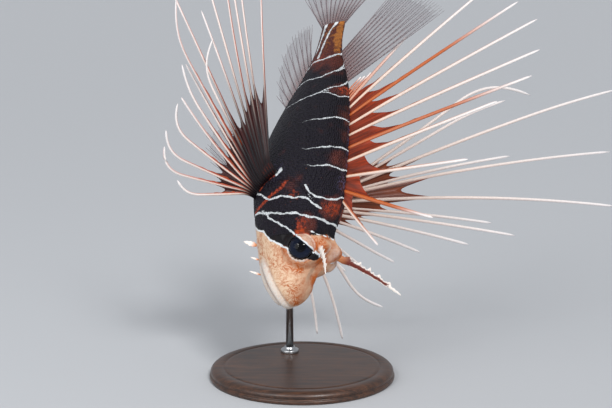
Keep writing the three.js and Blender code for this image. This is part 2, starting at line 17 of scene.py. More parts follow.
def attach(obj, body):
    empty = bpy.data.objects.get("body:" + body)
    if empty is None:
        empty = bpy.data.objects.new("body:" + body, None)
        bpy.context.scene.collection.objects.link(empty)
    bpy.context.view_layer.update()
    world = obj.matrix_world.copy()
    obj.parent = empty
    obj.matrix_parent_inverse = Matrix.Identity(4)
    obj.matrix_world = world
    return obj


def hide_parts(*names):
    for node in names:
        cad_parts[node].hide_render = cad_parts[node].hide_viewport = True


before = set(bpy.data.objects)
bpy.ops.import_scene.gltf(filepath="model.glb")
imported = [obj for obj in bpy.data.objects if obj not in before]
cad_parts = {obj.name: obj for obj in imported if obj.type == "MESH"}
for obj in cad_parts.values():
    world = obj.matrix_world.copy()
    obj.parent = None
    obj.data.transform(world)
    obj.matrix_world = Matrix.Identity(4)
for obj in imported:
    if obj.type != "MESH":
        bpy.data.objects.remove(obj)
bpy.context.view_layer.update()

bl_info = {
    "name": "Clearfin lionfish",
    "version": (1, 0, 0),
    "blender": (4, 5, 0),
    "location": "3D View > Sidebar > Lionfish",
    "description": "Skin, scales, fins, eyes and stand of a still lionfish model",
    "category": "Object",
}

MM = 0.001
BODY = "root"
# Each side of the fish, and its sign across the body
SIDES = {"right": -1, "left": 1}

# The dive, as the CAD source has it
STANDARD_LENGTH = 165.0
NOSE_ROUNDING = 11.0
VIEW_PITCH = 10.0
SNOUT = (-6.2, -36.5, 45.5)
HEAD_LEAN = 5.0
TAIL_LEAN = 10.5
HEAD_TILT = 20.0
TAIL_TILT = 31.0
BEND_START = 50.0
BEND_END = 92.0
ROLL = 32.0
BACK_NARROWS = 0.3
BELLY_NARROWS = 0.16
HEAD_END = 53.0

# Stations along the fish: t, half depth above and below the midline, half breadth
STATIONS = np.array(
    [
        (0, 9.5, 10.5, 9.5),
        (7, 10.4, 12.6, 10.6),
        (15, 11.6, 16.6, 11.8),
        (24, 13.6, 19.4, 12.8),
        (34, 19.2, 21.8, 13.8),
        (46, 25, 24.4, 15.2),
        (60, 26.6, 26.6, 16),
        (76, 26.2, 26.8, 15.2),
        (94, 23.8, 23.8, 12.8),
        (112, 20.4, 18.6, 9.6),
        (128, 15.2, 12.8, 6.6),
        (142, 10, 9, 4.6),
        (154, 7.6, 7.8, 3.3),
        (STANDARD_LENGTH, 7.4, 7.8, 1.9),
    ]
)
BACK, BELLY, BREADTH = 1, 2, 3

EYE = {"t": 26.0, "side": 10.0, "rise": 10.6, "radius": 6.3}
EYE_LOOKS = {"tail": -0.16, "side": 0.86, "rise": 0.42}
BROW = {"t": 25.0, "side": 6.0, "rise": 17.0, "height": 14.0, "spread": 4.8}

# The viewer's axes
ACROSS = np.array((1.0, 0.0, 0.0))
PITCH = math.radians(VIEW_PITCH)
UPWARD = np.array((0.0, math.sin(PITCH), math.cos(PITCH)))
AWAY = np.array((0.0, math.cos(PITCH), -math.sin(PITCH)))


def linear(code):
    """The linear colour, with alpha, of an sRGB hex value."""
    parts = [(code >> shift & 255) / 255 for shift in (16, 8, 0)]
    toe = [c / 12.92 if c <= 0.04045 else ((c + 0.055) / 1.055) ** 2.4 for c in parts]
    return (*toe, 1.0)


def mix(a, b, share):
    return a + (b - a) * share


def ease(x, start, end):
    u = np.clip((np.asarray(x, float) - start) / (end - start), 0, 1)
    return u * u * (3 - 2 * u)


def bump(x, centre, spread):
    """A soft hump of height 1 round a centre."""
    return np.exp(-(((np.asarray(x, float) - centre) / spread) ** 2))


def unit(v):
    return v / np.maximum(np.linalg.norm(v, axis=-1, keepdims=True), 1e-9)


def measure(column, t):
    """One measure of the body at t, on a smooth curve through the stations."""
    at = STATIONS[:, 0]
    value = STATIONS[:, column]
    t = np.clip(np.asarray(t, float), 0, STANDARD_LENGTH)
    before = np.maximum(np.arange(len(at)) - 1, 0)
    after = np.minimum(np.arange(len(at)) + 1, len(at) - 1)
    slope = (value[after] - value[before]) / (at[after] - at[before])
    i = np.clip(np.searchsorted(at, t) - 1, 0, len(at) - 2)
    span = at[i + 1] - at[i]
    u = (t - at[i]) / span
    bulge = (1 - u) * slope[i] - u * slope[i + 1]
    return mix(value[i], value[i + 1], u * u * (3 - 2 * u)) + u * (1 - u) * span * bulge


def axes_at(t):
    """The way towards the tail, and the fish's own up and left, at t."""
    bend = ease(t, BEND_START, BEND_END)
    lean = np.radians(mix(HEAD_LEAN, TAIL_LEAN, bend))[..., None]
    tilt = np.radians(mix(HEAD_TILT, TAIL_TILT, bend))[..., None]
    rest = np.cos(tilt) * UPWARD + np.sin(tilt) * AWAY
    tailward = np.sin(lean) * ACROSS + np.cos(lean) * rest
    rightward = unit(ACROSS - (tailward @ ACROSS)[..., None] * tailward)
    viewerward = np.cross(rightward, tailward)
    roll = math.radians(ROLL)
    up = rightward * math.cos(roll) + viewerward * math.sin(roll)
    return tailward, up, np.cross(tailward, up)


STEPS = np.arange(STANDARD_LENGTH + 10) + 0.5
BACKBONE = np.vstack([[SNOUT], SNOUT + np.cumsum(axes_at(STEPS)[0], axis=0)])


def pose(t, side, rise):
    """Points of the straight fish, bent into the dive."""
    t, side, rise = np.broadcast_arrays(*(np.asarray(x, float) for x in (t, side, rise)))
    i = np.clip(t, 0, STANDARD_LENGTH + 9).astype(int)
    tailward, up, left = axes_at(t)
    along = tailward * (t - i)[..., None]
    return BACKBONE[i] + along + left * side[..., None] + up * rise[..., None]


def posed(p):
    """Points of the straight fish in one array, bent into the dive."""
    return pose(p[..., 0], p[..., 1], p[..., 2])


def pose_direction(t, tail, side, rise):
    tailward, up, left = axes_at(np.asarray(t, float))
    return unit(tailward * tail + left * side + up * rise)


def brow_lift(t, side, rise):
    away = (t - BROW["t"]) ** 2 + (np.abs(side) - BROW["side"]) ** 2
    away = away + (rise - BROW["rise"]) ** 2
    return BROW["height"] * np.exp(-away / (2 * BROW["spread"] ** 2))


def bare_skin(t, turn, grow=0.0):
    """Points of the smooth skin: turn is 0 on the back and a quarter turn on the left."""
    t, turn, grow = np.broadcast_arrays(*(np.asarray(x, float) for x in (t, turn, grow)))
    nose = np.clip(t / NOSE_ROUNDING, 0, 1)
    rounding = np.sqrt(np.maximum(1 - (1 - nose) ** 2, 0))
    up = np.cos(turn)
    height = np.where(up > 0, measure(BACK, t), measure(BELLY, t)) * up * rounding
    back_narrows = BACK_NARROWS * np.clip(t / HEAD_END, 0, 1)
    keel = 1 - np.where(up > 0, back_narrows, BELLY_NARROWS) * up**2
    width = measure(BREADTH, t) * np.sin(turn) * keel * rounding
    reach = np.maximum(np.hypot(width, height), 1e-6)
    push = 1 + (grow + brow_lift(t, width, height) * rounding) / reach
    return np.stack([t - grow * (1 - nose), width * push, height * push], -1)


# The mouth runs from the snout tip down and back, in t and rise, and the gill cover's edge and
# the bony ridge before it are arcs of slanting ellipses
MOUTH = np.array([(-2, -3), (3, -5), (9, -8.2), (15, -11.6), (20, -14.2)])
COVER = {"t": 46.5, "rise": -4.0, "length": 13.0, "height": 16.5, "slant": 3.0}
CHEEK = {"t": 34.0, "rise": -6.0, "length": 8.5, "height": 12.5, "slant": 2.5}


def line_gap(t, rise, line):
    """Distance from points to a broken line in t and rise, and whether they lie above it."""
    best = np.full(np.shape(t), 1e9)
    above = np.zeros(np.shape(t))
    for (t0, r0), (t1, r1) in zip(line[:-1], line[1:]):
        share = ((t - t0) * (t1 - t0) + (rise - r0) * (r1 - r0)) / ((t1 - t0) ** 2 + (r1 - r0) ** 2)
        share = np.clip(share, 0, 1)
        gap = np.hypot(t - mix(t0, t1, share), rise - mix(r0, r1, share))
        nearer = gap < best
        best = np.where(nearer, gap, best)
        above = np.where(nearer, np.sign(rise - mix(r0, r1, share)), above)
    return best, above


def oval_gap(t, rise, oval):
    """How far outside an oval points lie, in about millimetres, and their angle round it."""
    x = (t - oval["t"]) / oval["length"]
    y = (rise - oval["rise"] - oval["slant"] * x) / oval["height"]
    size = min(oval["length"], oval["height"])
    return (np.hypot(x, y) - 1) * size, np.degrees(np.arctan2(y, x))


def relief(t, turn):
    """Folds, lips, pits and ridges of the skin over its smooth form, in millimetres."""
    p = bare_skin(t, turn)
    t, side, rise = p[..., 0], np.abs(p[..., 1]), p[..., 2]
    lift = np.zeros(np.shape(t))
    gap, above = line_gap(t, rise, MOUTH)
    lip_fades = 1 - ease(t, 17, 23)
    lift -= 1.1 * bump(gap, 0, 0.55) * lip_fades
    lift += 0.75 * bump(gap, 2.1, 1.3) * (above > 0) * lip_fades
    lift += 0.5 * bump(gap, 1.7, 1.0) * (above < 0) * lip_fades
    lift -= 0.35 * bump(gap, 4.6, 0.7) * (above > 0) * lip_fades
    gap, angle = oval_gap(t, rise, COVER)
    rear = ease(np.cos(np.radians(angle + 12)), -0.25, 0.35)
    lift += 0.55 * rear * (1 - ease(gap, -0.25, 0.45)) * ease(gap, -6, 0)
    lift -= 0.35 * rear * bump(gap, 0.9, 0.9)
    gap, angle = oval_gap(t, rise, CHEEK)
    rear = ease(np.cos(np.radians(angle + 35)), 0.0, 0.5)
    lift += 0.5 * rear * bump(gap, 0, 0.9)
    lift -= 0.3 * rear * bump(gap, 1.8, 0.9)
    spikes = bump(np.mod(angle + 80, 28), 14, 5) * (angle < 12) * (angle > -78)
    lift += 0.35 * rear * spikes * bump(gap, 0.3, 1.3)
    # A ridge under the eye, the nostrils and the edges of the jaw bones
    under_eye = rise - mix(3.5, -1.5, ease(t, 18, 44))
    lift += 0.45 * bump(under_eye, 0, 1.0) * ease(t, 15, 20) * (1 - ease(t, 40, 46))
    for nostril_t, nostril_side in ((10.5, 6.8), (14.5, 7.6)):
        away = np.hypot(t - nostril_t, side - nostril_side) + 20 * (rise < 0)
        lift += 0.22 * bump(away, 0.95, 0.4) - 0.5 * bump(away, 0, 0.5)
    lift += 0.5 * bump(side, 3.6, 1.0) * ease(t, 10, 16) * (1 - ease(t, 34, 42)) * (rise > 0)
    lift -= 0.5 * bump(side, 0, 2.0) * ease(t, 8, 14) * (1 - ease(t, 30, 38)) * (rise > 0)
    # The lateral line and faint folds behind the gill cover
    lateral = rise - mix(14, 0, ease(t, 56, 130))
    lift -= 0.14 * bump(lateral, 0, 0.45) * ease(t, 56, 62)
    return lift


def eye_frame(mirror):
    """The eye's centre and three axes of the straight fish: outward, across and over."""
    centre = np.array((EYE["t"], EYE["side"] * mirror, EYE["rise"]))
    out = (EYE_LOOKS["tail"], EYE_LOOKS["side"] * mirror, EYE_LOOKS["rise"])
    out = unit(np.array(out))
    across = unit(np.cross(out, (0.0, 0.0, 1.0)))
    return centre, out, across, np.cross(out, across)


ORBIT = {"radius": 6.15, "rim": 1.7, "wall": 0.75, "fade": 4.2, "floor": -2.6}
EYELID = {"thickness": 0.5, "outward": 0.28, "sunk": 0.1, "scallop": 0.2, "scallops": 22,
          "heavier": 0.3}


def sink_sockets(p):
    """Sinks the skin behind each eye and gathers it into a rim that hugs the eye."""
    for mirror in SIDES.values():
        centre, out, across, over = eye_frame(mirror)
        q = p - centre
        depth = q @ out
        ring = np.hypot(q @ across, q @ over)
        rim = ORBIT["rim"] * (1 - 0.25 * ease(ring, 7, 10))
        wall = ease(ring, ORBIT["radius"] - ORBIT["wall"], ORBIT["radius"])
        target = mix(ORBIT["floor"], rim, wall)
        hold = 1 - ease(ring, ORBIT["radius"] + 0.6, ORBIT["radius"] + ORBIT["fade"])
        near = (np.abs(depth) < 12) * hold
        p = p + out * ((target - depth) * near)[..., None]
    return p


def dressed_skin(t, turn, grow):
    """Points of the skin with its folds, in the straight fish."""
    t, turn, grow = np.broadcast_arrays(*(np.asarray(x, float) for x in (t, turn, grow)))
    return sink_sockets(bare_skin(t, turn, grow + relief(t, turn)))


# Markings of the right flank, mirrored on the left: thin white lines through points given as t
# and degrees from the back, each with its width and the share of its run where it starts to fade
WHITE_LINES = [
    {"run": [(167, 60), (159, 90), (149, 101), (140, 104)], "width": 1.2},
    {"run": [(167, 126), (154, 130), (143, 132)], "width": 1.1, "fades": 0.8},
    {"run": [(143, 0), (142, 25), (138, 74), (137, 123), (133, 148), (132, 180)], "width": 0.95},
    {"run": [(135, 0), (129, 44), (124, 73), (123, 121), (121, 148), (120, 180)], "width": 0.6},
    {"run": [(132.5, 0), (131, 20), (128, 42)], "width": 0.5, "fades": 0.6},
    {"run": [(123, 0), (121, 12), (116, 51), (112, 72), (109, 90), (106, 148), (105, 170)],
     "width": 0.6, "fades": 0.4},
    {"run": [(112, 0), (110, 34), (112, 50), (112, 70)], "width": 0.6, "fades": 0.7},
    {"run": [(96, 0), (96, 26), (95, 47), (93, 64), (91.5, 80)], "width": 0.75, "fades": 0.45},
    {"run": [(78, 0), (78, 21), (78, 38), (76, 51), (75, 72)], "width": 0.7, "fades": 0.5},
    {"run": [(67, 0), (67, 21), (67.5, 34), (67, 47), (66.5, 66)], "width": 0.7, "fades": 0.55},
    {"run": [(53, 4), (51, 31), (51, 48), (53, 56), (56.5, 63)], "width": 0.8},
    {"run": [(46.5, 42), (48, 52), (50, 59), (51, 67), (51, 79), (52, 94), (51.5, 112),
             (56, 124), (59, 158), (60, 180)], "width": 0.85},
    {"run": [(40, 0), (40, 25), (41, 42), (42, 56), (43, 76), (44, 104), (46, 120), (47, 154),
             (47, 180)], "width": 0.95},
    {"run": [(46, 122), (44, 115), (41, 103), (37, 88), (36, 78), (32.5, 66), (30.5, 58), (28, 49),
             (26, 42), (24.5, 36), (23.2, 28), (22.6, 19)], "width": 0.8},
    {"run": [(43, 180), (42, 160), (36, 122), (31, 107), (28, 92), (26, 74), (23.5, 65)],
     "width": 0.9},
    {"run": [(34.5, 0), (33, 18), (32, 31), (35, 46)], "width": 0.8, "broken": 1.0},
    # The last, short and broad, is a painted highlight: a bright white spot behind the root of the
    # side fin
    {"run": [(65.0, 94), (63.5, 100)], "width": 1.7},
]
LINE_WIGGLE = 0.32

# The front edge of the dark skin, as degrees from the back and t. The dark band through the eye
# is a soft patch of its own where the face is pale on both sides of it. On the left it stops at
# the eye, over the degrees given here.
FACE_EDGE = [(0, 34), (12, 34), (31, 32.5), (44, 32), (50, 23), (62, 23), (74, 26), (92, 28),
             (107, 31), (122, 36), (160, 42), (180, 43)]
EYE_BAND = [(23.5, 42, 3.6, 12, 1.0), (22.3, 32, 2.6, 10, 1.0), (21.8, 24, 1.7, 9, 1.0)]
LEFT_BAND_STOPS = (36, 46)
# Soft patches: t, degrees from the back, half length, half width in degrees, strength
BROWN_PATCHES = [
    (154, 80, 20, 110, 1.2), (137, 70, 8, 90, 0.9), (72, 14, 5.5, 46, 0.6),
    (47, 20, 6.5, 30, 1.0), (100, 12, 6, 34, 0.4),
    (115, 25, 5.5, 40, 0.9), (37, 54, 7, 17, 0.9), (129, 40, 6, 44, 0.5), (84, 8, 9, 22, 0.4),
    (60, 8, 6, 20, 0.45), (92, 8, 5, 20, 0.4), (57, 80, 6, 22, 0.35),
]
AMBER_PATCHES = [(155, 34, 17, 36, 1.3), (155, 90, 16, 50, 0.6)]
RUSTY_PATCHES = [
    (47, 22, 6, 26, 0.72), (34, 60, 5, 11, 0.9), (31, 50, 4, 9, 1.0), (39, 60, 4, 12, 0.75),
    (115, 22, 5, 26, 0.7), (139, 100, 6, 60, 0.55), (52, 76, 4, 12, 0.6),
]
PALE_PATCHES = [(33, 166, 12, 24, 0.7), (56, 180, 12, 14, 0.5), (26, 10, 4, 7, 0.4)]
# Patches where a bluish sheen of the scales is painted in fine specks, one a long stripe along the
# root of the spiny fin
BLUISH_PATCHES = [(60, 12, 6, 14, 1.0), (85, 3, 34, 7, 0.7), (66, 100, 6, 10, 0.5)]
# Bright stripes before the root of each side fin, as t and degrees, each with its half width
RED_STRIPES = [([(59, 85), (56, 92), (53, 106), (50, 122), (47.5, 140)], 0.75),
               ([(63, 104), (61.5, 115), (58, 128)], 0.5)]
MM_PER_DEGREE = 0.3


def line_points(line, rng):
    """Dense points of one white line, in the straight fish, with their half widths and the way
    across the line along the skin."""
    run = np.array(line["run"], float)
    flat = bare_skin(run[:, 0], np.radians(run[:, 1]))
    distance = np.concatenate([[0], np.cumsum(np.linalg.norm(np.diff(flat, axis=0), axis=1))])
    s = np.linspace(0, distance[-1], int(distance[-1] / 0.25))
    soft = np.ones(13) / 13
    t, turn = (
        np.convolve(np.pad(np.interp(s, distance, run[:, k]), 6, mode="edge"), soft, "valid")
        for k in (0, 1)
    )
    phase = rng.uniform(0, 6.3, 4)
    t = t + LINE_WIGGLE * (np.sin(0.5 * s + phase[0]) + 0.45 * np.sin(1.3 * s + phase[1]))
    strength = 1 + 0.22 * np.sin(0.8 * s + phase[2]) + 0.14 * np.sin(2.3 * s + phase[3])
    if "fades" in line:
        strength = strength * (1 - ease(s / distance[-1], line["fades"], 1.05))
    if "broken" in line:
        strength = strength * ease(np.sin(1.7 * s + phase[2]), -0.4, 0.1)
    p = bare_skin(t, np.radians(turn))
    outward = bare_skin(t, np.radians(turn), 1.0) - p
    across = unit(np.cross(outward, np.gradient(p, axis=0)))
    return p, line["width"] / 2 * strength, across


def line_tree():
    rng = np.random.default_rng(7)
    runs = [line_points(line, rng) for line in WHITE_LINES]
    points, widths, across = (np.concatenate(column) for column in zip(*runs))
    tree = KDTree(len(points))
    for i, p in enumerate(points):
        tree.insert(p, i)
    tree.balance()
    return tree, points, widths, across


LINE_TREE, LINE_POINTS, LINE_WIDTHS, LINE_ACROSS = line_tree()


def patches(t, turn, listed):
    """The strongest of several soft patches at each point of a flank."""
    degrees = np.degrees(turn)
    strongest = np.zeros(np.shape(t))
    for at, down, length, width, strength in listed:
        away = np.hypot((t - at) / length, (degrees - down) / width)
        strongest = np.maximum(strongest, strength * (1 - ease(away, 0.3, 1.25)))
    return strongest


def stripes(t, turn):
    """How strongly the bright stripes show at points of a flank."""
    strongest = np.zeros(np.shape(t))
    for run, half in RED_STRIPES:
        flat = np.array(run, float) * (1, MM_PER_DEGREE)
        gap, _ = line_gap(t, np.degrees(turn) * MM_PER_DEGREE, flat)
        strongest = np.maximum(strongest, 1 - ease(gap, half * 0.6, half * 1.9))
    return strongest


def markings(t, turn):
    """The fields that the skin's colours are mixed from, at points of the skin.

    line_side is how far a point lies to one side of the nearest white line. It runs evenly
    through zero, so a thin line stays sharp on a coarser mesh. line_far and line_half are the
    whole distance and half the line's width."""
    signed = (np.asarray(turn) + math.pi) % (2 * math.pi) - math.pi
    turn = np.abs(signed)
    t = np.asarray(t, float)
    degrees = np.degrees(turn)
    p = bare_skin(t, turn)
    found = [LINE_TREE.find(q) for q in p.reshape(-1, 3)]
    nearest = np.array([f[1] for f in found])
    offset = p.reshape(-1, 3) - LINE_POINTS[nearest]
    edge = np.array(FACE_EDGE, float)
    face = np.interp(degrees, edge[:, 0], edge[:, 1]) - t
    on_left = np.where(signed > 0, ease(degrees, *LEFT_BAND_STOPS), 1)
    band = patches(t, turn, EYE_BAND) * on_left
    face = np.minimum(face, (0.5 - band) * 8)
    mouth, above = line_gap(t, p[..., 2], MOUTH)
    lip = (1 - ease(np.abs(mouth - 2.0 * (above > 0)), 0.8, 4.4)) * (1 - ease(t, 19, 26))
    # Painted shade: the seam of the closed mouth, darkened where shade falls in its groove
    gape = bump(mouth, 0, 0.5) * (1 - ease(t, 18, 22))
    near_eye = np.linalg.norm(p - eye_frame(1)[0], axis=-1)
    crown = 0.9 * bump(degrees, 10, 34) * ease(t, -4, 6)
    return {
        "line_side": np.einsum("ij,ij->i", offset, LINE_ACROSS[nearest]).reshape(t.shape),
        "line_far": np.array([f[2] for f in found]).reshape(t.shape),
        "line_half": LINE_WIDTHS[nearest].reshape(t.shape),
        "face_edge": face,
        "brown": patches(t, turn, BROWN_PATCHES),
        "amber": patches(t, turn, AMBER_PATCHES),
        "red": np.maximum(stripes(t, turn), patches(t, turn, RUSTY_PATCHES)),
        "bluish": patches(t, turn, BLUISH_PATCHES),
        "pale": np.maximum(patches(t, turn, PALE_PATCHES), lip),
        "orange": np.maximum(0.8 * bump(near_eye, 7, 5), crown),
        "gape": gape,
    }


# Meshes


class Build:
    """Gathers closed pieces of mesh with their fields and, where given, a bake map."""

    def __init__(self):
        self.points = []
        self.faces = []
        self.uvs = []
        self.fields = {}
        self.count = 0

    def add(self, points, faces, fields=None, corner_uv=None):
        """Adds a closed shape: points (n, 3) in millimetres and faces (m, 3 or 4)."""
        a, b, c = (points[faces[:, k]] for k in range(3))
        volume = np.einsum("ij,ij->i", a, np.cross(b, c)).sum()
        if faces.shape[1] == 4:
            volume += np.einsum("ij,ij->i", a, np.cross(c, points[faces[:, 3]])).sum()
        if volume < 0:
            faces = faces[:, ::-1]
            corner_uv = None if corner_uv is None else corner_uv[:, ::-1]
        self.points.append(points)
        self.faces += (faces + self.count).tolist()
        if corner_uv is not None:
            self.uvs.append(corner_uv.reshape(-1, 2))
        for name, values in (fields or {}).items():
            self.fields.setdefault(name, []).append(np.ravel(values))
        self.count += len(points)

    def loft(self, rings, fields=None, unwrap=None):
        """Adds rings (m, n, 3) of an even number of points, joined and closed at both ends.

        unwrap gives a bake map: u of each ring, and v of each point round it and of the first
        point once more."""
        m, n, _ = rings.shape
        i, j = (grid.ravel() for grid in np.meshgrid(np.arange(m - 1), np.arange(n), indexing="ij"))
        a = i * n + j
        b = i * n + (j + 1) % n
        sides = np.stack([a, b, b + n, a + n], 1)
        k = np.arange(n // 2 - 1)
        cap = np.stack([k, n - 1 - k, n - 2 - k, k + 1], 1)
        faces = np.vstack([sides, cap, cap[:, ::-1] + (m - 1) * n])
        corner_uv = None
        if unwrap:
            u, v = unwrap
            side_u = u[np.stack([i, i, i + 1, i + 1], 1)]
            side_v = v[np.stack([j, j + 1, j + 1, j], 1)]
            ends = np.stack([np.full(cap.shape, u[0]), v[cap]], -1)
            far_ends = np.stack([np.full(cap.shape, u[-1]), v[cap[:, ::-1]]], -1)
            corner_uv = np.concatenate([np.stack([side_u, side_v], -1), ends, far_ends])
        self.add(rings.reshape(-1, 3), faces, fields, corner_uv)

    def piece(self, name, material, slot, replaces=()):
        """Makes the mesh object, which rides on the part's one body."""
        mesh = bpy.data.meshes.new(name)
        mesh.from_pydata((np.vstack(self.points) * MM).tolist(), [], self.faces)
        for key, values in self.fields.items():
            layer = mesh.attributes.new(key, "FLOAT", "POINT")
            layer.data.foreach_set("value", np.concatenate(values).astype(np.float32))
        if self.uvs:
            layer = mesh.uv_layers.new(name="OFBake")
            layer.data.foreach_set("uv", np.vstack(self.uvs).astype(np.float32).ravel())
        mesh.polygons.foreach_set("use_smooth", np.ones(len(mesh.polygons), bool))
        mesh.materials.append(material)
        mesh.update()
        made = bpy.data.objects.new(name, mesh)
        bpy.context.scene.collection.objects.link(made)
        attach(made, BODY)
        if replaces:
            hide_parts(*replaces)


def ring_grid(m, n):
    """Faces of a grid of m by n points that closes on itself both ways, and their places."""
    i, j = (grid.ravel() for grid in np.meshgrid(np.arange(m), np.arange(n), indexing="ij"))
    i_next, j_next = (i + 1) % m, (j + 1) % n
    return i, j, np.stack([i * n + j, i * n + j_next, i_next * n + j_next, i_next * n + j], 1)


def lathe_rings(profile, segments, axis, across, over, centre):
    """Rings of a solid of revolution, from a profile of distances from and along its axis."""
    turn = np.linspace(0, 2 * math.pi, segments, endpoint=False)
    circle = np.cos(turn)[:, None] * across + np.sin(turn)[:, None] * over
    profile = np.array(profile, float)
    return centre + profile[:, None, :1] * circle + profile[:, None, 1:] * axis


# Materials


def add_node(tree, kind, settings=None, links=None, out=0):
    """Adds a node, sets its properties and inputs, links it, and returns one output."""
    node = tree.nodes.new("ShaderNode" + kind)
    for key, value in (settings or {}).items():
        if key == "stops":
            while len(node.color_ramp.elements) < len(value):
                node.color_ramp.elements.new(1.0)
            for element, (position, colour) in zip(node.color_ramp.elements, value):
                element.position = position
                element.color = colour
        elif isinstance(key, str) and hasattr(node, key):
            setattr(node, key, value)
        else:
            node.inputs[key].default_value = value
    for key, socket in (links or {}).items():
        tree.links.new(socket, node.inputs[key])
    return node.outputs[out] if node.outputs else None


def new_material(name):
    material = bpy.data.materials.new(name)
    material.use_nodes = True
    material.node_tree.nodes.clear()
    return material, material.node_tree


def per_mm(size):
    """The scale that gives a pattern in object space cells of about size millimetres."""
    return 1 / (size * MM)


# Sockets of a colour Mix node: its weight, its two colours and its result
FACTOR, A, B, RESULT = 0, 6, 7, 2


def plain_and_linked(values):
    """Splits a node's inputs into plain values and sockets to link."""
    links = {k: value for k, value in values.items() if isinstance(value, bpy.types.NodeSocket)}
    return {k: value for k, value in values.items() if k not in links}, links


def mix_colour(tree, factor, a, b, blend="MIX"):
    """Sockets or colours a and b, mixed by a socket or number."""
    plain, links = plain_and_linked({FACTOR: factor, A: a, B: b})
    settings = {"data_type": "RGBA", "blend_type": blend, **plain}
    return add_node(tree, "Mix", settings, links, RESULT)


def calculate(tree, operation, *values, clamp=False):
    """One step of arithmetic on sockets or numbers."""
    plain, links = plain_and_linked(dict(enumerate(values)))
    settings = {"operation": operation, "use_clamp": clamp, **plain}
    return add_node(tree, "Math", settings, links)


def remap(tree, value, start, end, low=0.0, high=1.0, smooth=False):
    """A socket's range from start to end, turned into low to high."""
    settings = {"From Min": start, "From Max": end, "To Min": low, "To Max": high}
    if smooth:
        settings["interpolation_type"] = "SMOOTHSTEP"
    return add_node(tree, "MapRange", settings, {"Value": value})


def attribute(tree, key):
    """A field that the mesh carries at each of its points."""
    return add_node(tree, "Attribute", {"attribute_name": key}, out="Fac")


def object_place(tree):
    return add_node(tree, "TexCoord", out="Object")


def noise(tree, place, size, detail, **more):
    """Noise with cells of about size millimetres."""
    settings = {"Scale": per_mm(size), "Detail": detail, **more}
    return add_node(tree, "TexNoise", settings, {"Vector": place})


def bump_normal(tree, height, strength, depth):
    """The surface normal of bumps about depth millimetres high."""
    settings = {"Strength": strength, "Distance": depth * MM}
    return add_node(tree, "Bump", settings, {"Height": height})


def finish_material(tree, shader):
    add_node(tree, "OutputMaterial", links={"Surface": shader})


def finish_principled(tree, settings, links):
    finish_material(tree, add_node(tree, "BsdfPrincipled", settings, links))


SKIN_FIELDS = (
    "line_side", "line_far", "line_half", "face_edge", "brown", "amber", "red", "bluish", "pale",
    "orange", "gape",
)


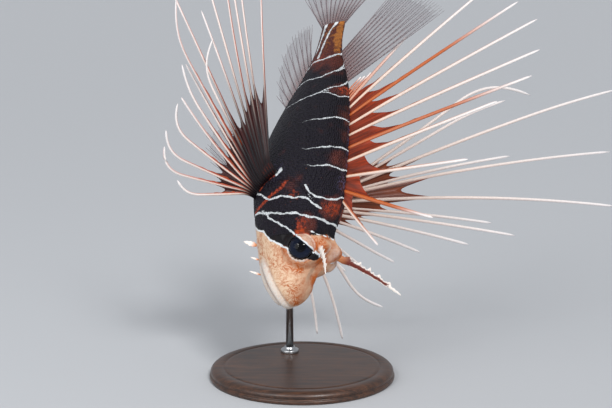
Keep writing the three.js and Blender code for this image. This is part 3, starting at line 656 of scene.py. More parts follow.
def skin_material(name, colours, roughness, scaled):
    """Fish skin: thin, wet and satin over dark pigment, so a soft sheen and no hard gloss.

    Scales carry a painted bluish highlight along their free edges."""
    material, tree = new_material(name)
    place = object_place(tree)
    field = {key: attribute(tree, key) for key in SKIN_FIELDS}
    cloudy = noise(tree, place, 6, 4)
    grainy = noise(tree, place, 0.9, 3)
    # Dark pigment, turning red-brown in soft patches
    brown = calculate(tree, "MULTIPLY_ADD", cloudy, 1.5, -0.8)
    brown = calculate(tree, "ADD", brown, field["brown"])
    brown = remap(tree, brown, 0.05, 0.85, smooth=True)
    speckled = remap(tree, grainy, 0.3, 0.7, 0.55, 1.25)
    brown = calculate(tree, "MULTIPLY", brown, speckled, clamp=True)
    base = mix_colour(tree, brown, colours.dark, colours.brown)
    # Amber in ragged flecks, and a painted bluish highlight where the scales catch the light
    fleck = noise(tree, place, 1.5, 4)
    fleck = calculate(tree, "MULTIPLY_ADD", fleck, 2.2, -1.1)
    amber = calculate(tree, "ADD", fleck, field["amber"])
    amber = remap(tree, amber, 0.5, 1.3)
    base = mix_colour(tree, amber, base, colours.amber)
    bloom = remap(tree, grainy, 0.48, 0.62, 0.0, 0.8)
    bloom = calculate(tree, "MULTIPLY", bloom, field["bluish"])
    base = mix_colour(tree, bloom, base, colours.glint)
    # Rusty flecks and the bright stripes before the side fins
    red = calculate(tree, "ADD", fleck, field["red"])
    red = remap(tree, red, 0.5, 1.05)
    red = calculate(tree, "MULTIPLY", red, speckled, clamp=True)
    base = mix_colour(tree, red, base, colours.red)
    # The face: cream under an orange net
    cells = noise(tree, place, 3.4, 2, Roughness=0.55, Distortion=1.6)
    net = calculate(tree, "SUBTRACT", cells, 0.5)
    net = calculate(tree, "ABSOLUTE", net)
    net = remap(tree, net, 0.085, 0.01, smooth=True)
    wash = calculate(tree, "MULTIPLY_ADD", field["orange"], 0.3, 0.75)
    net = calculate(tree, "ADD", net, field["orange"], clamp=True)
    net = calculate(tree, "MULTIPLY", net, wash)
    blotch = remap(tree, cloudy, 0.35, 0.65, 0.35, 1.2)
    net = calculate(tree, "MULTIPLY", net, blotch, clamp=True)
    face = mix_colour(tree, net, colours.cream, colours.orange)
    ragged = calculate(tree, "MULTIPLY_ADD", grainy, 2.4, -1.2)
    edge = calculate(tree, "ADD", field["face_edge"], ragged)
    edge = remap(tree, edge, -0.3, 0.5)
    colour = mix_colour(tree, edge, base, face)
    pale = calculate(tree, "MULTIPLY", field["pale"], speckled, clamp=True)
    colour = mix_colour(tree, pale, colour, colours.white)
    # Painted shade in the mouth's groove: its seam mixed to brown
    colour = mix_colour(tree, field["gape"], colour, colours.brown)
    # Thin white lines, a little uneven along their edges
    uneven = calculate(tree, "MULTIPLY_ADD", grainy, 0.6, -0.3)
    line = calculate(tree, "ADD", field["line_side"], uneven)
    line = calculate(tree, "ABSOLUTE", line)
    line = calculate(tree, "SUBTRACT", line, field["line_half"])
    line = remap(tree, line, 0.1, -0.1)
    near = remap(tree, field["line_far"], 1.4, 1.0)
    line = calculate(tree, "MULTIPLY", line, near)
    colour = mix_colour(tree, line, colour, colours.line)
    if scaled:
        # Painted highlight: the free edges of the scales turn towards the glint colour in fine specks
        rim = attribute(tree, "rim")
        glint = calculate(tree, "MULTIPLY", rim, grainy, clamp=True)
        glint = calculate(tree, "MULTIPLY", glint, 0.3)
        colour = mix_colour(tree, glint, colour, colours.glint)
    height = calculate(tree, "ADD", grainy, cells)
    normal = bump_normal(tree, height, 0.35, 0.25)
    rough = remap(tree, grainy, 0.0, 1.0, roughness - 0.08, roughness + 0.1)
    finish_principled(
        tree,
        {"IOR": 1.36, "Specular IOR Level": 0.35},
        {"Base Color": colour, "Roughness": rough, "Normal": normal},
    )
    return material


def ray_material(name, colours, roughness, root_colour, edge_colour, edged):
    """Fin spines and rays: bone in a thin skin, moulded smooth, white ahead and brown behind.

    edged is how strongly the back edge is coloured."""
    material, tree = new_material(name)
    place = object_place(tree)
    along = attribute(tree, "along")
    behind = attribute(tree, "behind")
    root = attribute(tree, "root_tone")
    grain = noise(tree, place, 1.2, 3)
    edge = calculate(tree, "MULTIPLY_ADD", grain, 0.5, -0.25)
    edge = calculate(tree, "ADD", behind, edge)
    edge = remap(tree, edge, 0.05, 0.45, smooth=True)
    fades = remap(tree, along, 0.4, 0.95, edged, 0.3 * edged)
    edge = calculate(tree, "MULTIPLY", edge, fades)
    tint = mix_colour(tree, along, colours.ray_root, colours.ray)
    colour = mix_colour(tree, edge, tint, edge_colour)
    colour = mix_colour(tree, root, colour, root_colour)
    fine = remap(tree, grain, 0.0, 1.0, 0.82, 1.08)
    colour = mix_colour(tree, 1.0, colour, fine, "MULTIPLY")
    normal = bump_normal(tree, grain, 0.25, 0.15)
    settings = {"IOR": 1.45, "Roughness": roughness}
    finish_principled(tree, settings, {"Base Color": colour, "Normal": normal})
    return material


RAY_JOINTS = 160.0


def clear_ray_material(name, colour, roughness):
    """Soft fin rays: thin jointed cartilage under clear skin, greyish and slightly see-through."""
    material, tree = new_material(name)
    along = attribute(tree, "along")
    joints = calculate(tree, "MULTIPLY", along, RAY_JOINTS)
    joints = calculate(tree, "SINE", joints)
    tone = remap(tree, joints, -1.0, 1.0, 0.75, 1.1)
    tinted = mix_colour(tree, 1.0, colour, tone, "MULTIPLY")
    alpha = remap(tree, along, 0.0, 1.0, 0.85, 0.36)
    settings = {"IOR": 1.42, "Roughness": roughness}
    finish_principled(tree, settings, {"Base Color": tinted, "Alpha": alpha})
    return material


STREAKS_PER_GAP = 5.0


def web_material(name, inner, outer, edge_colour, solid_root, solid_rim):
    """Fin membrane: wet skin a few cells thick, see-through where the fin is clear."""
    material, tree = new_material(name)
    place = object_place(tree)
    along = attribute(tree, "along")
    beside = attribute(tree, "beside")
    cloudy = noise(tree, place, 5, 4)
    # Streaks that follow the rays, a few to each gap between two of them
    lane = attribute(tree, "lane")
    lane = calculate(tree, "MULTIPLY", lane, STREAKS_PER_GAP)
    stretched = add_node(tree, "CombineXYZ", links={"X": lane, "Y": along})
    streaks = add_node(tree, "TexNoise", {"Scale": 1.3, "Detail": 3}, {"Vector": stretched})
    share = calculate(tree, "MULTIPLY_ADD", cloudy, 0.6, -0.3)
    share = calculate(tree, "ADD", share, along, clamp=True)
    colour = mix_colour(tree, share, inner, outer)
    rim = remap(tree, beside, 0.55, 1.0)
    rim = calculate(tree, "MULTIPLY", rim, streaks)
    colour = mix_colour(tree, rim, colour, edge_colour)
    dark = remap(tree, streaks, 0.35, 0.65, 0.4, 1.05)
    colour = mix_colour(tree, 1.0, colour, dark, "MULTIPLY")
    alpha = remap(tree, along, 0.0, 0.45, solid_root, solid_rim)
    varied = calculate(tree, "MULTIPLY_ADD", streaks, 0.3, -0.15)
    alpha = calculate(tree, "ADD", alpha, varied, clamp=True)
    normal = bump_normal(tree, streaks, 0.3, 0.2)
    links = {"Base Color": colour, "Normal": normal, "Alpha": alpha}
    finish_principled(tree, {"IOR": 1.4, "Roughness": 0.38}, links)
    return material


def frill_material(name, shaft, frill, root_colour):
    """Soft skin of the horn-like tentacles and face flaps: matte, thin and frayed."""
    material, tree = new_material(name)
    place = object_place(tree)
    white = attribute(tree, "white")
    root = attribute(tree, "root_tone")
    grain = noise(tree, place, 0.8, 4)
    varied = calculate(tree, "MULTIPLY_ADD", grain, 0.8, -0.4)
    share = calculate(tree, "ADD", white, varied, clamp=True)
    share = remap(tree, share, 0.3, 0.62)
    colour = mix_colour(tree, share, shaft, frill)
    colour = mix_colour(tree, root, colour, root_colour)
    normal = bump_normal(tree, grain, 0.5, 0.2)
    links = {"Base Color": colour, "Normal": normal}
    finish_principled(tree, {"IOR": 1.4, "Roughness": 0.5}, links)
    return material


# Where the painted iris begins and ends, as shares of the eyeball's and the iris's radius
IRIS_SHARE = 0.86
PUPIL_SHARE = 0.46
PUPIL_EDGE = 0.04
PUPIL_BLACK = 0x020205
RIM_BLACK = 0x0A0608


def eye_material(name, iris, sheen):
    """Glass eye, painted from behind: a black pupil in a dark iris with fine rays, whose bluish tint
    is a painted sheen.
    """
    material, tree = new_material(name)
    ring = attribute(tree, "ring")
    clock_x = attribute(tree, "clock_x")
    clock_y = attribute(tree, "clock_y")
    slow = calculate(tree, "MULTIPLY", ring, 0.25)
    place = add_node(tree, "CombineXYZ", links={"X": clock_x, "Y": clock_y, "Z": slow})
    rays = add_node(tree, "TexNoise", {"Scale": 9.0, "Detail": 4}, {"Vector": place})
    # The iris rays are tinted bluish: a painted sheen on the dark iris
    colour = mix_colour(tree, rays, iris, sheen)
    pupil = remap(tree, ring, PUPIL_SHARE, PUPIL_SHARE + PUPIL_EDGE)
    colour = mix_colour(tree, pupil, linear(PUPIL_BLACK), colour)
    outer = remap(tree, ring, 0.9, 1.1)
    colour = mix_colour(tree, outer, colour, linear(RIM_BLACK))
    settings = {"Roughness": 0.6, "Specular IOR Level": 0.0}
    finish_principled(tree, settings, {"Base Color": colour})
    return material


def cornea_material(name):
    """Clear glass dome: seen through, with the studio's lights mirrored on its outer face."""
    material, tree = new_material(name)
    clear = add_node(tree, "BsdfTransparent")
    gloss = add_node(tree, "BsdfGlossy", {"Roughness": 0.04})
    share = add_node(tree, "Fresnel", {"IOR": 1.33})
    inner_face = add_node(tree, "NewGeometry", out="Backfacing")
    outer_face = calculate(tree, "SUBTRACT", 1.0, inner_face)
    share = calculate(tree, "MULTIPLY", share, outer_face)
    finish_material(tree, add_node(tree, "MixShader", links={0: share, 1: clear, 2: gloss}))
    return material


def wood_material(name, dark, light, grain_width):
    """Stained walnut, turned and oiled: long dark grain under a satin film."""
    material, tree = new_material(name)
    place = object_place(tree)
    stretched = add_node(tree, "Mapping", {"Scale": (0.12, 1.0, 1.0)}, {"Vector": place})
    waves = noise(tree, stretched, grain_width, 5, Distortion=0.6)
    pores = noise(tree, stretched, 0.5, 2)
    grain = calculate(tree, "MULTIPLY", waves, pores)
    colour = add_node(tree, "ValToRGB", {"stops": [(0.14, dark), (0.42, light)]}, {"Fac": grain})
    rough = remap(tree, pores, 0.0, 1.0, 0.34, 0.5)
    normal = bump_normal(tree, pores, 0.25, 0.1)
    finish_principled(
        tree,
        {"IOR": 1.5, "Coat Weight": 0.2, "Coat Roughness": 0.25},
        {"Base Color": colour, "Roughness": rough, "Normal": normal},
    )
    return material


def steel_material(name, colour):
    """Stainless steel rod, brushed round its length: fine rings that spread the highlight."""
    material, tree = new_material(name)
    place = object_place(tree)
    rings = add_node(tree, "Mapping", {"Scale": (0.15, 0.15, 1.0)}, {"Vector": place})
    brushed = noise(tree, rings, 0.35, 3)
    rough = remap(tree, brushed, 0.0, 1.0, 0.2, 0.42)
    normal = bump_normal(tree, brushed, 0.15, 0.05)
    settings = {"Base Color": colour, "Metallic": 1.0}
    finish_principled(tree, settings, {"Roughness": rough, "Normal": normal})
    return material


def backdrop_material(name, colour):
    """Matte seamless paper."""
    material, tree = new_material(name)
    place = object_place(tree)
    fibres = noise(tree, place, 2, 2)
    rough = remap(tree, fibres, 0.0, 1.0, 0.85, 0.95)
    settings = {"Base Color": colour, "Specular IOR Level": 0.2}
    finish_principled(tree, settings, {"Roughness": rough})
    return material


# Fins


PECTORAL_ROOT = {"t": (64.0, 55.5), "turn": (99.0, 147.0)}
LEAVES_SIDEWAYS_FOR = 14.0
LEAVES_TAILWARD_BY = 0.15
CURL_FROM = 0.66
UNEVEN_AMOUNT = 0.05
UNEVEN_PACE = 2.3
ROOT_DEPTH = 0.9
# The side fins, ray by ray from the top. climbs are the web's shares of a long, a middling and a
# short ray, halves the first and last rays' half widths, toned how far out those two are as dark
# as the web, and edged how strongly the rays' back edge is coloured.
RIGHT_PECTORAL = {
    "mirror": -1,
    "halves": (0.5, 0.78),
    "toned": (72.0, 13.0),
    "edged": 0.95,
    "climbs": (0.36, 0.42, 0.5),
    "away": (0.14, -0.3),
    "lengths": [142, 150, 152, 146, 138, 91, 118, 80, 104, 73, 75, 62, 65, 61, 59, 45],
    "headings": [95, 101, 102, 106, 106, 108, 115, 116, 119, 122, 128, 136, 145, 158, 169, 185],
    "bends": [-5, -6, -5, -12, 0, 3, 0, 0, 0, -4, -8, -14, -6, -4, -6, -6],
    "curls": [0, 4, 0, 0, 0, 0, 0, -48, -32, 0, -18, 0, -62, -62, -78, -60],
}
LEFT_PECTORAL = {
    "mirror": 1,
    "halves": (0.9, 0.84),
    "toned": (30.0, 16.0),
    "edged": 0.15,
    "climbs": (0.45, 0.5, 0.56),
    "away": (0.34, 0.16),
    "lengths": [150, 132, 190, 124, 184, 180, 114, 126, 102, 80, 68, 58, 52, 80, 83, 74],
    "headings": [32, 29, 24, 18, 15, 6, -2, -5, -9, -15, -23, -31, -38, -33, -44, -58],
    "bends": [8, 2, -6, -9, -10, -12, -6, -5, -6, -8, -10, -16, -20, -38, -40, -28],
    "curls": [-58, -12, -3, 0, 0, 0, 0, 0, 0, 0, 6, 10, 16, 50, 4, 0],
}
SIDE_FINS = {"right": RIGHT_PECTORAL, "left": LEFT_PECTORAL}
LONG_RAY = 130
MIDDLING_RAY = 90
# Dorsal spines: t of the root, length, angle to the way to the tail, tip towards the left
DORSAL_SPINES = [
    (52, 32, 141, 4),
    (57, 51, 112, 6),
    (64.5, 63, 89, 8),
    (72.5, 79, 73, 9),
    (80, 96, 72.5, 10),
    (87.5, 102, 68.5, 10),
    (94, 106, 61, 10),
    (100, 102, 54, 10),
    (105, 96, 43, 10),
    (109.5, 47, 33, 9),
    (111.9, 18, 33, 8),
    (114.2, 13, 34, 7),
    (116.6, 10, 36, 6),
]
# Spines that are orange rather than white, counted from the head, and how strongly
ORANGE_SPINES = {1: 0.95, 4: 0.9, 7: 0.95, 9: 0.5, 10: 0.8, 11: 0.8, 12: 0.8}
# Half width and half thickness of the spines at root, middle and tip
SPINE_HALVES = ((0.84, 0.98, 0.7), (0.6, 0.72, 0.5))
# Shares of a spine that the web climbs behind and ahead of it, and that its own strip covers
SPINE_WEBS = (0.36, 0.12)
SPINE_STRIP = (0.06, 0.86)
STRIPPED_SPINE = 30
LIST_GROWTH = 0.4
SOFT_DORSAL_FIN = {
    "t": (122.5, 144),
    "length": (62, 44),
    "bulge": 3,
    "sweep": (55, 37),
    "tip": 5,
    "droop": 6,
    "below": False,
}
ANAL_FIN = {
    "t": (112, 139),
    "length": (15, 30),
    "bulge": 14,
    "sweep": (40, 16),
    "tip": -3,
    "droop": 8,
    "below": True,
}
TAIL_FIN = {"length": 46.0, "spread": 33.0, "above": 6.8, "below": 7.2, "flick": 5.0}
PELVIC_FIN = {
    "t": (60, 66),
    "turn": (168, 160),
    "swing": (52, 26),
    "outward": (0.2, 0.42),
    "length": (34, 44),
}
FOLLOW_STEPS = 50


def web_on_ray(length, climbs):
    """The share of a side fin's ray that the membrane climbs, smaller on a longer ray."""
    if length > LONG_RAY:
        return climbs[0]
    return climbs[1] if length > MIDDLING_RAY else climbs[2]


def follow(start, length, direction_at):
    """Points of a curve of a given length that heads where direction_at says at each share."""
    share = (np.arange(FOLLOW_STEPS) + 0.5) / FOLLOW_STEPS
    steps = unit(direction_at(share)) * (length / FOLLOW_STEPS)
    return np.vstack([start, start + np.cumsum(steps, axis=0)])


def at_share(path, share):
    """Points at shares of a path's length."""
    whole = np.linspace(0, 1, len(path))
    return np.stack([np.interp(share, whole, path[:, k]) for k in range(3)], -1)


def on_skin(t, turn, grow):
    return pose(*bare_skin(t, turn, grow))


def pectoral_path(fin, j):
    q = j / (len(fin["lengths"]) - 1)
    length = fin["lengths"][j]
    t = mix(*PECTORAL_ROOT["t"], q)
    turn = math.radians(mix(*PECTORAL_ROOT["turn"], q)) * fin["mirror"]
    sideways = pose_direction(t, LEAVES_TAILWARD_BY, fin["mirror"], 0)
    away = mix(*fin["away"], q) + UNEVEN_AMOUNT * math.sin(UNEVEN_PACE * j)

    def direction_at(s):
        curl = fin["curls"][j] * ease(s, CURL_FROM, 1)
        heading = np.radians(fin["headings"][j] + fin["bends"][j] * s + curl)
        free = np.cos(heading)[:, None] * ACROSS + np.sin(heading)[:, None] * UPWARD
        free = unit(free + away * AWAY)
        turned = ease(s * length, 0, LEAVES_SIDEWAYS_FOR)[:, None]
        return sideways + (free - sideways) * turned

    return follow(on_skin(t, turn, -ROOT_DEPTH), length, direction_at)


def median_path(t, length, sweep, tip, droop=3.0, below=False):
    side = math.sin(math.radians(tip))

    def direction_at(s):
        angle = np.radians(sweep - droop * s)
        rise = np.sin(angle) * math.cos(math.radians(tip)) * (-1 if below else 1)
        tailward, up, left = axes_at(np.asarray(t, float))
        parts = np.cos(angle)[:, None] * tailward + rise[:, None] * up
        return unit(parts + (side * s**LIST_GROWTH)[:, None] * left)

    return follow(on_skin(t, math.pi if below else 0.0, -ROOT_DEPTH), length, direction_at)


def soft_path(fin, q):
    """The ray at a share of the way along the root of a soft fin of the back or belly."""
    t, length, sweep = (mix(*fin[key], q) for key in ("t", "length", "sweep"))
    length = length + fin["bulge"] * math.sin(math.pi * q)
    return median_path(t, length, sweep, fin["tip"], fin["droop"], fin["below"])


def tail_path(q):
    angle = math.radians(mix(TAIL_FIN["spread"], -TAIL_FIN["spread"], q))
    length = TAIL_FIN["length"] * mix(0.86, 1, math.sin(math.pi * q))
    rise = mix(TAIL_FIN["above"], -TAIL_FIN["below"], q)
    root = pose(STANDARD_LENGTH - ROOT_DEPTH, 0, rise)
    go = pose_direction(STANDARD_LENGTH, math.cos(angle), 0, math.sin(angle))
    leftward = pose_direction(STANDARD_LENGTH, 0, 1, 0)
    s = np.linspace(0, 1, FOLLOW_STEPS + 1)[:, None]
    return root + go * length * s + leftward * TAIL_FIN["flick"] * s**2


def pelvic_path(mirror, q):
    t = mix(*PELVIC_FIN["t"], q)
    root = on_skin(t, math.radians(mix(*PELVIC_FIN["turn"], q)) * mirror, -ROOT_DEPTH)
    swing = math.radians(mix(*PELVIC_FIN["swing"], q))
    outward = mirror * mix(*PELVIC_FIN["outward"], q)
    go = pose_direction(t, math.cos(swing), outward, -math.sin(swing))
    length = mix(*PELVIC_FIN["length"], math.sin(math.pi * q))
    s = np.linspace(0, 1, FOLLOW_STEPS + 1)[:, None]
    return root + go * length * s


# Each clear fin's number of rays, and the path of a ray at its share of the way along the root
CLEAR_FINS = {
    "soft_dorsal_fin": (11, lambda q: soft_path(SOFT_DORSAL_FIN, q)),
    "anal_fin": (9, lambda q: soft_path(ANAL_FIN, q)),
    "tail_fin": (13, tail_path),
    "pelvic_fin_left": (6, lambda q: pelvic_path(1, q)),
    "pelvic_fin_right": (6, lambda q: pelvic_path(-1, q)),
}


def fan_frames(paths, i, share):
    """At shares of ray i: its points, the way to the next rays and the fan's own normal."""
    points = at_share(paths[i], share)
    before = at_share(paths[max(i - 1, 0)], share)
    after = at_share(paths[min(i + 1, len(paths) - 1)], share)
    forward = unit(np.gradient(points, axis=0))
    normal = unit(np.cross(forward, after - before))
    return points, np.cross(normal, forward), normal


def round_shares(count):
    """Shares along a ray, closer together towards its tip."""
    s = np.linspace(0, 1, count)
    return s + 0.12 * np.sin(math.pi * s) * (1 - s)


def ray_size(share, root, full, tip):
    """A ray's half width: thin at the root, full a quarter of the way out, slimmer at the tip."""
    swelling = mix(root, full, ease(share, 0, 0.25))
    slimming = np.clip((share - 0.25) / 0.75, 0, 1) ** 1.5
    end = np.sqrt(np.clip((1 - share) / 0.03, 0, 1))
    return mix(swelling, tip, slimming) * np.maximum(end, 0.25)


def add_ray(build, paths, i, wide, thick, tone, toned, shift=0.0, edge=1, sides=10, count=46):
    """A tapering rod along ray i. shift moves it beside the ray's path as the ray branches,
    toned is the range of shares over which it loses the root's colour, and edge is the side of
    its coloured edge, 1 towards the next ray."""
    share = round_shares(count)
    points, over, normal = fan_frames(paths, i, share)
    points = points + over * (shift * ease(share, 0.3, 1.0))[:, None]
    phi = np.linspace(0, 2 * math.pi, sides, endpoint=False)
    a = ray_size(share, *wide)[:, None, None] * np.cos(phi)[None, :, None]
    b = ray_size(share, *thick)[:, None, None] * np.sin(phi)[None, :, None]
    rings = points[:, None] + over[:, None] * a + normal[:, None] * b
    flat = np.ones((len(share), sides))
    build.loft(
        rings,
        {
            "along": share[:, None] * flat,
            "behind": edge * np.cos(phi)[None, :] * flat,
            "root_tone": (tone * (1 - ease(share, *toned)))[:, None] * flat,
        },
    )


def add_web(build, paths, i, reach, dip, thick=0.11, ripple=0.35, rows=18, columns=11):
    """A thin sheet between rays i and i + 1. reach is the share of each ray that it climbs."""
    u = np.linspace(0, 1, columns)
    v = np.linspace(0, 1, rows)[:, None]
    near, far = reach
    lowered = 1 - dip * np.sin(math.pi * u) ** 0.8
    a = at_share(paths[i], v * near * lowered)
    b = at_share(paths[i + 1], v * far * lowered)
    middle = mix(a, b, u[None, :, None])
    dv = np.gradient(middle, axis=0)
    du = np.gradient(middle, axis=1)
    normal = unit(np.cross(dv, du))
    wave = np.sin(2 * math.pi * u * 1.5 + 1.7 * i) * np.sin(math.pi * u)
    middle = middle + normal * (ripple * wave[None, :] * v)[..., None]
    half = (thick * mix(1.3, 0.7, v))[..., None]
    rings = np.concatenate([middle + normal * half, (middle - normal * half)[:, ::-1]], 1)
    both = np.concatenate([u, u[::-1]])
    flat = np.ones((rows, 2 * columns))
    build.loft(
        rings,
        {
            "along": v * flat,
            "beside": np.abs(2 * both - 1)[None] * flat,
            "lane": i + both[None] * flat,
        },
    )


def add_strip(build, paths, i, ends, width, thick=0.12, count=26, side=1.0):
    """A narrow membrane along one edge of ray i, from one share of it to another."""
    share = np.linspace(*ends, count)
    points, over, normal = fan_frames(paths, i, share)
    fade = (1 - np.linspace(0, 1, count)) ** 0.7
    ruffle = 1 + 0.18 * np.sin(share * 60 + i)
    across = np.array([0.0, 0.5, 1.0])
    out = (width * fade * ruffle)[:, None] * across
    middle = points[:, None] + side * over[:, None] * out[..., None]
    half = normal[:, None] * thick
    rings = np.concatenate([middle + half, (middle - half)[:, ::-1]], 1)
    flat = np.ones((count, 6))
    edge = np.concatenate([across, across[::-1]])[None] * flat
    build.loft(rings, {"along": share[:, None] * flat, "beside": edge, "lane": i + 0.3 * edge})


# Head pieces


def turn_of(p):
    """The skin's own turn of points of the straight fish."""
    t, side, rise = p[..., 0], p[..., 1], p[..., 2]
    height = np.where(rise > 0, measure(BACK, t), measure(BELLY, t))
    return np.arctan2(side / measure(BREADTH, t), rise / height)


def add_eyelid(build, mirror):
    """A fleshy ring round the eye that closes the skin on it, scalloped below."""
    centre, out, across, over = eye_frame(mirror)
    m, n = 144, 12
    around = np.linspace(0, 2 * math.pi, m, endpoint=False)[:, None]
    phi = np.linspace(0, 2 * math.pi, n, endpoint=False)
    circle = np.cos(around)[..., None] * over + np.sin(around)[..., None] * across
    lower = ease(-0.8 * circle[..., 0] - 0.45 * circle[..., 2], 0.35, 0.7)
    crown = ease(0.5 * circle[..., 0] + 0.75 * circle[..., 2], 0.5, 0.8)
    size = EYELID["thickness"] + EYELID["heavier"] * crown
    size = size + EYELID["scallop"] * np.sin(EYELID["scallops"] * around) * lower
    ring = ORBIT["radius"] + EYELID["outward"] + size * np.cos(phi)
    lift = ORBIT["rim"] - EYELID["sunk"] + size * np.sin(phi)
    p = centre + ring[..., None] * circle + lift[..., None] * out
    i, j, faces = ring_grid(m, n)
    u = (0.05 * (mirror > 0) + 0.045 * np.stack([i, i, i + 1, i + 1], 1) / m) + 0.002
    v = 0.003 + 0.012 * np.stack([j, j + 1, j + 1, j], 1) / n
    fields = markings(p[..., 0], turn_of(p))
    fields["face_edge"] = np.maximum(fields["face_edge"], mix(-3, 3, np.maximum(lower, crown)))
    fields["pale"] = np.maximum(fields["pale"], np.maximum(0.8 * lower, 0.45 * crown))
    build.add(posed(p).reshape(-1, 3), faces, fields,
              np.stack([u, v], -1))


HOOD = {"cut": 3.0, "inside": 0.3, "outside": 0.8, "edge": 0.45}
# Where each hood hangs from, towards the tail and the back
HOOD_LEANS = {-1: (0.75, 0.65), 1: (-0.2, 1.0)}


def add_hood(build, mirror, radius):
    """A fold of skin that hangs over the upper part of the eye, with a white edge."""
    centre, out, _, _ = eye_frame(mirror)
    tail, rise = HOOD_LEANS[mirror]
    lean = np.array((tail, 0.0, rise))
    axis = unit(lean - (lean @ out) * out)
    inner, outer = radius + HOOD["inside"], radius + HOOD["outside"]
    start = math.asin(HOOD["cut"] / outer)
    angle = np.concatenate([np.linspace(start, 1.2, 14), np.linspace(1.25, 1.565, 8)])
    arc = np.stack([np.cos(angle), np.sin(angle)], 1)
    middle = (inner + outer) / 2 * np.array([[math.cos(start - 0.04), math.sin(start - 0.04)]])
    profile = np.vstack([arc[::-1] * inner, middle, arc * outer])
    p = lathe_rings(profile, 64, axis, out, np.cross(axis, out), centre)
    from_edge = np.concatenate([(angle - start)[::-1], [0.0], angle - start]) * radius
    flat = np.ones(p.shape[:2])
    fields = markings(p[..., 0], turn_of(p))
    fields["face_edge"] = 3 * flat
    fields["orange"] = 0.6 * flat
    fields["pale"] = 0.3 * flat
    ragged = 0.22 * np.sin(9 * np.linspace(0, 2 * math.pi, p.shape[1], endpoint=False))
    fields["line_side"] = from_edge[:, None] + ragged * flat
    fields["line_far"] = 0 * flat
    fields["line_half"] = HOOD["edge"] * flat
    u = 0.1 + 0.06 * (mirror > 0) + 0.05 * np.linspace(0, 1, len(profile))
    v = np.linspace(0.003, 0.015, 65)
    build.loft(posed(p), fields, (u, v))


def skin_stations():
    """t of each ring of the skin: rounded at the nose and at the root of the tail fin."""
    angle = np.concatenate([[0.005], np.linspace(0, math.pi / 2, 38)[1:-1]])
    nose = NOSE_ROUNDING * (1 - np.cos(angle))
    head = np.arange(NOSE_ROUNDING, 55, 0.44)
    trunk = np.arange(55, STANDARD_LENGTH - 0.2, 0.62)
    return np.concatenate([nose, head, trunk, [STANDARD_LENGTH]])


SKIN_TURNS = 256
TAIL_ROUNDING = (0.4, 0.75, 0.93, 0.99)
UNWRAP_START = 0.06
UNWRAP_SPAN = 0.93
SEAM_MARGIN = 0.02


def unwrap_u(t):
    """Place on the unwrap along the fish. Skin and scales share it."""
    return UNWRAP_START + UNWRAP_SPAN * t / (STANDARD_LENGTH + 2)


def unwrap_v(turn):
    return SEAM_MARGIN + (1 - 2 * SEAM_MARGIN) * (turn + math.pi) / (2 * math.pi)


def add_skin(build, depth):
    """The whole skin as one closed grid, from the snout tip to the root of the tail fin."""
    stations = skin_stations()
    turns = np.linspace(-math.pi, math.pi, SKIN_TURNS, endpoint=False)
    t, turn = np.meshgrid(stations, turns, indexing="ij")
    p = dressed_skin(t, turn, -depth)
    last = p[-1]
    ends = [
        np.stack(
            [
                last[:, 0] + 0.9 * share,
                last[:, 1] * math.sqrt(1 - share**2),
                last[:, 2] * (1 - 0.1 * share**2),
            ],
            1,
        )
        for share in TAIL_ROUNDING
    ]
    p = np.concatenate([p, np.stack(ends)])
    repeated = [len(stations) - 1] * len(ends)
    fields = {
        key: np.concatenate([values, values[repeated]])
        for key, values in markings(t, turn).items()
    }
    u = unwrap_u(np.concatenate([stations, STANDARD_LENGTH + np.array(TAIL_ROUNDING)]))
    v = unwrap_v(np.linspace(-math.pi, math.pi, SKIN_TURNS + 1))
    build.loft(posed(p), fields, (u, v))


SCALES_FROM = 33.0
SCALES_TO = 162.5
BARE_ROUND_EYE = 9.6
BARE_BEHIND_FACE = 1.2
ROW_SHARE = 0.7
ROW_DRIFT = 0.57
RING_SAMPLES = 181
PATCH = 0.003
# A scale reaches this far ahead of its root, and this far in all, as shares of its length
SCALE_AHEAD = 0.8
SCALE_SPAN = 1.8
SCALE_LENGTH = 0.62
# Random differences between scales: along and round the body, in size and in tilt
SCALE_SHIFT = 0.12
SCALE_TURN = 0.012
SCALE_SIZES = (0.92, 1.06)
SCALE_TILT = 0.05


def scale_form():
    """One fish scale: its points as shares of length and width, their heights, rim and faces.

    The first point is the middle of its top and the last that of its underside, and the edge
    lies between them, round behind and narrower in front."""
    angle = np.radians([90, 45, 0, -45, -90])
    rear = np.stack([0.3 + 0.7 * np.cos(angle), 0.5 * np.sin(angle)], 1)
    edge = np.vstack([rear, [(-0.5, -0.4), (-SCALE_AHEAD, 0.0), (-0.5, 0.4)]])
    k = len(edge)
    rise = (edge[:, 0] + SCALE_AHEAD) / SCALE_SPAN
    middle = (0.1, 0.0)
    places = np.vstack([[middle], edge, [middle]])
    heights = np.concatenate([[0.24], mix(-0.12, 0.2, rise), [-0.14]])
    rim = np.concatenate([[0.1], ease(edge[:, 0], 0, 0.8), [0.3]])
    j = np.arange(k)
    after = (j + 1) % k
    top = np.stack([np.zeros(k, int), 1 + j, 1 + after], 1)
    under = np.stack([1 + j, np.full(k, 1 + k), 1 + after], 1)
    return places, heights, rim, np.vstack([top, under])


def scale_roots(width, spacing):
    """t, turn and size of each scale, in staggered rows that are even round the body."""
    fine = np.linspace(-math.pi, math.pi, RING_SAMPLES)
    found = []
    t = SCALES_FROM
    while t < SCALES_TO:
        size = 1 - 0.4 * ease(t, 115, 160) - 0.35 * (1 - ease(t, 33, 58))
        ring = bare_skin(np.full(RING_SAMPLES, t), fine)[:, 1:]
        length = np.concatenate([[0], np.cumsum(np.linalg.norm(np.diff(ring, axis=0), axis=1))])
        count = int(length[-1] / (width * size * ROW_SHARE))
        at = (np.arange(count) + (ROW_DRIFT * len(found)) % 1) / count * length[-1]
        turn = np.interp(at, length, fine)
        found.append(np.stack([np.full(count, t), turn, np.full(count, size)], 1))
        t += spacing * size
    return np.vstack(found).T


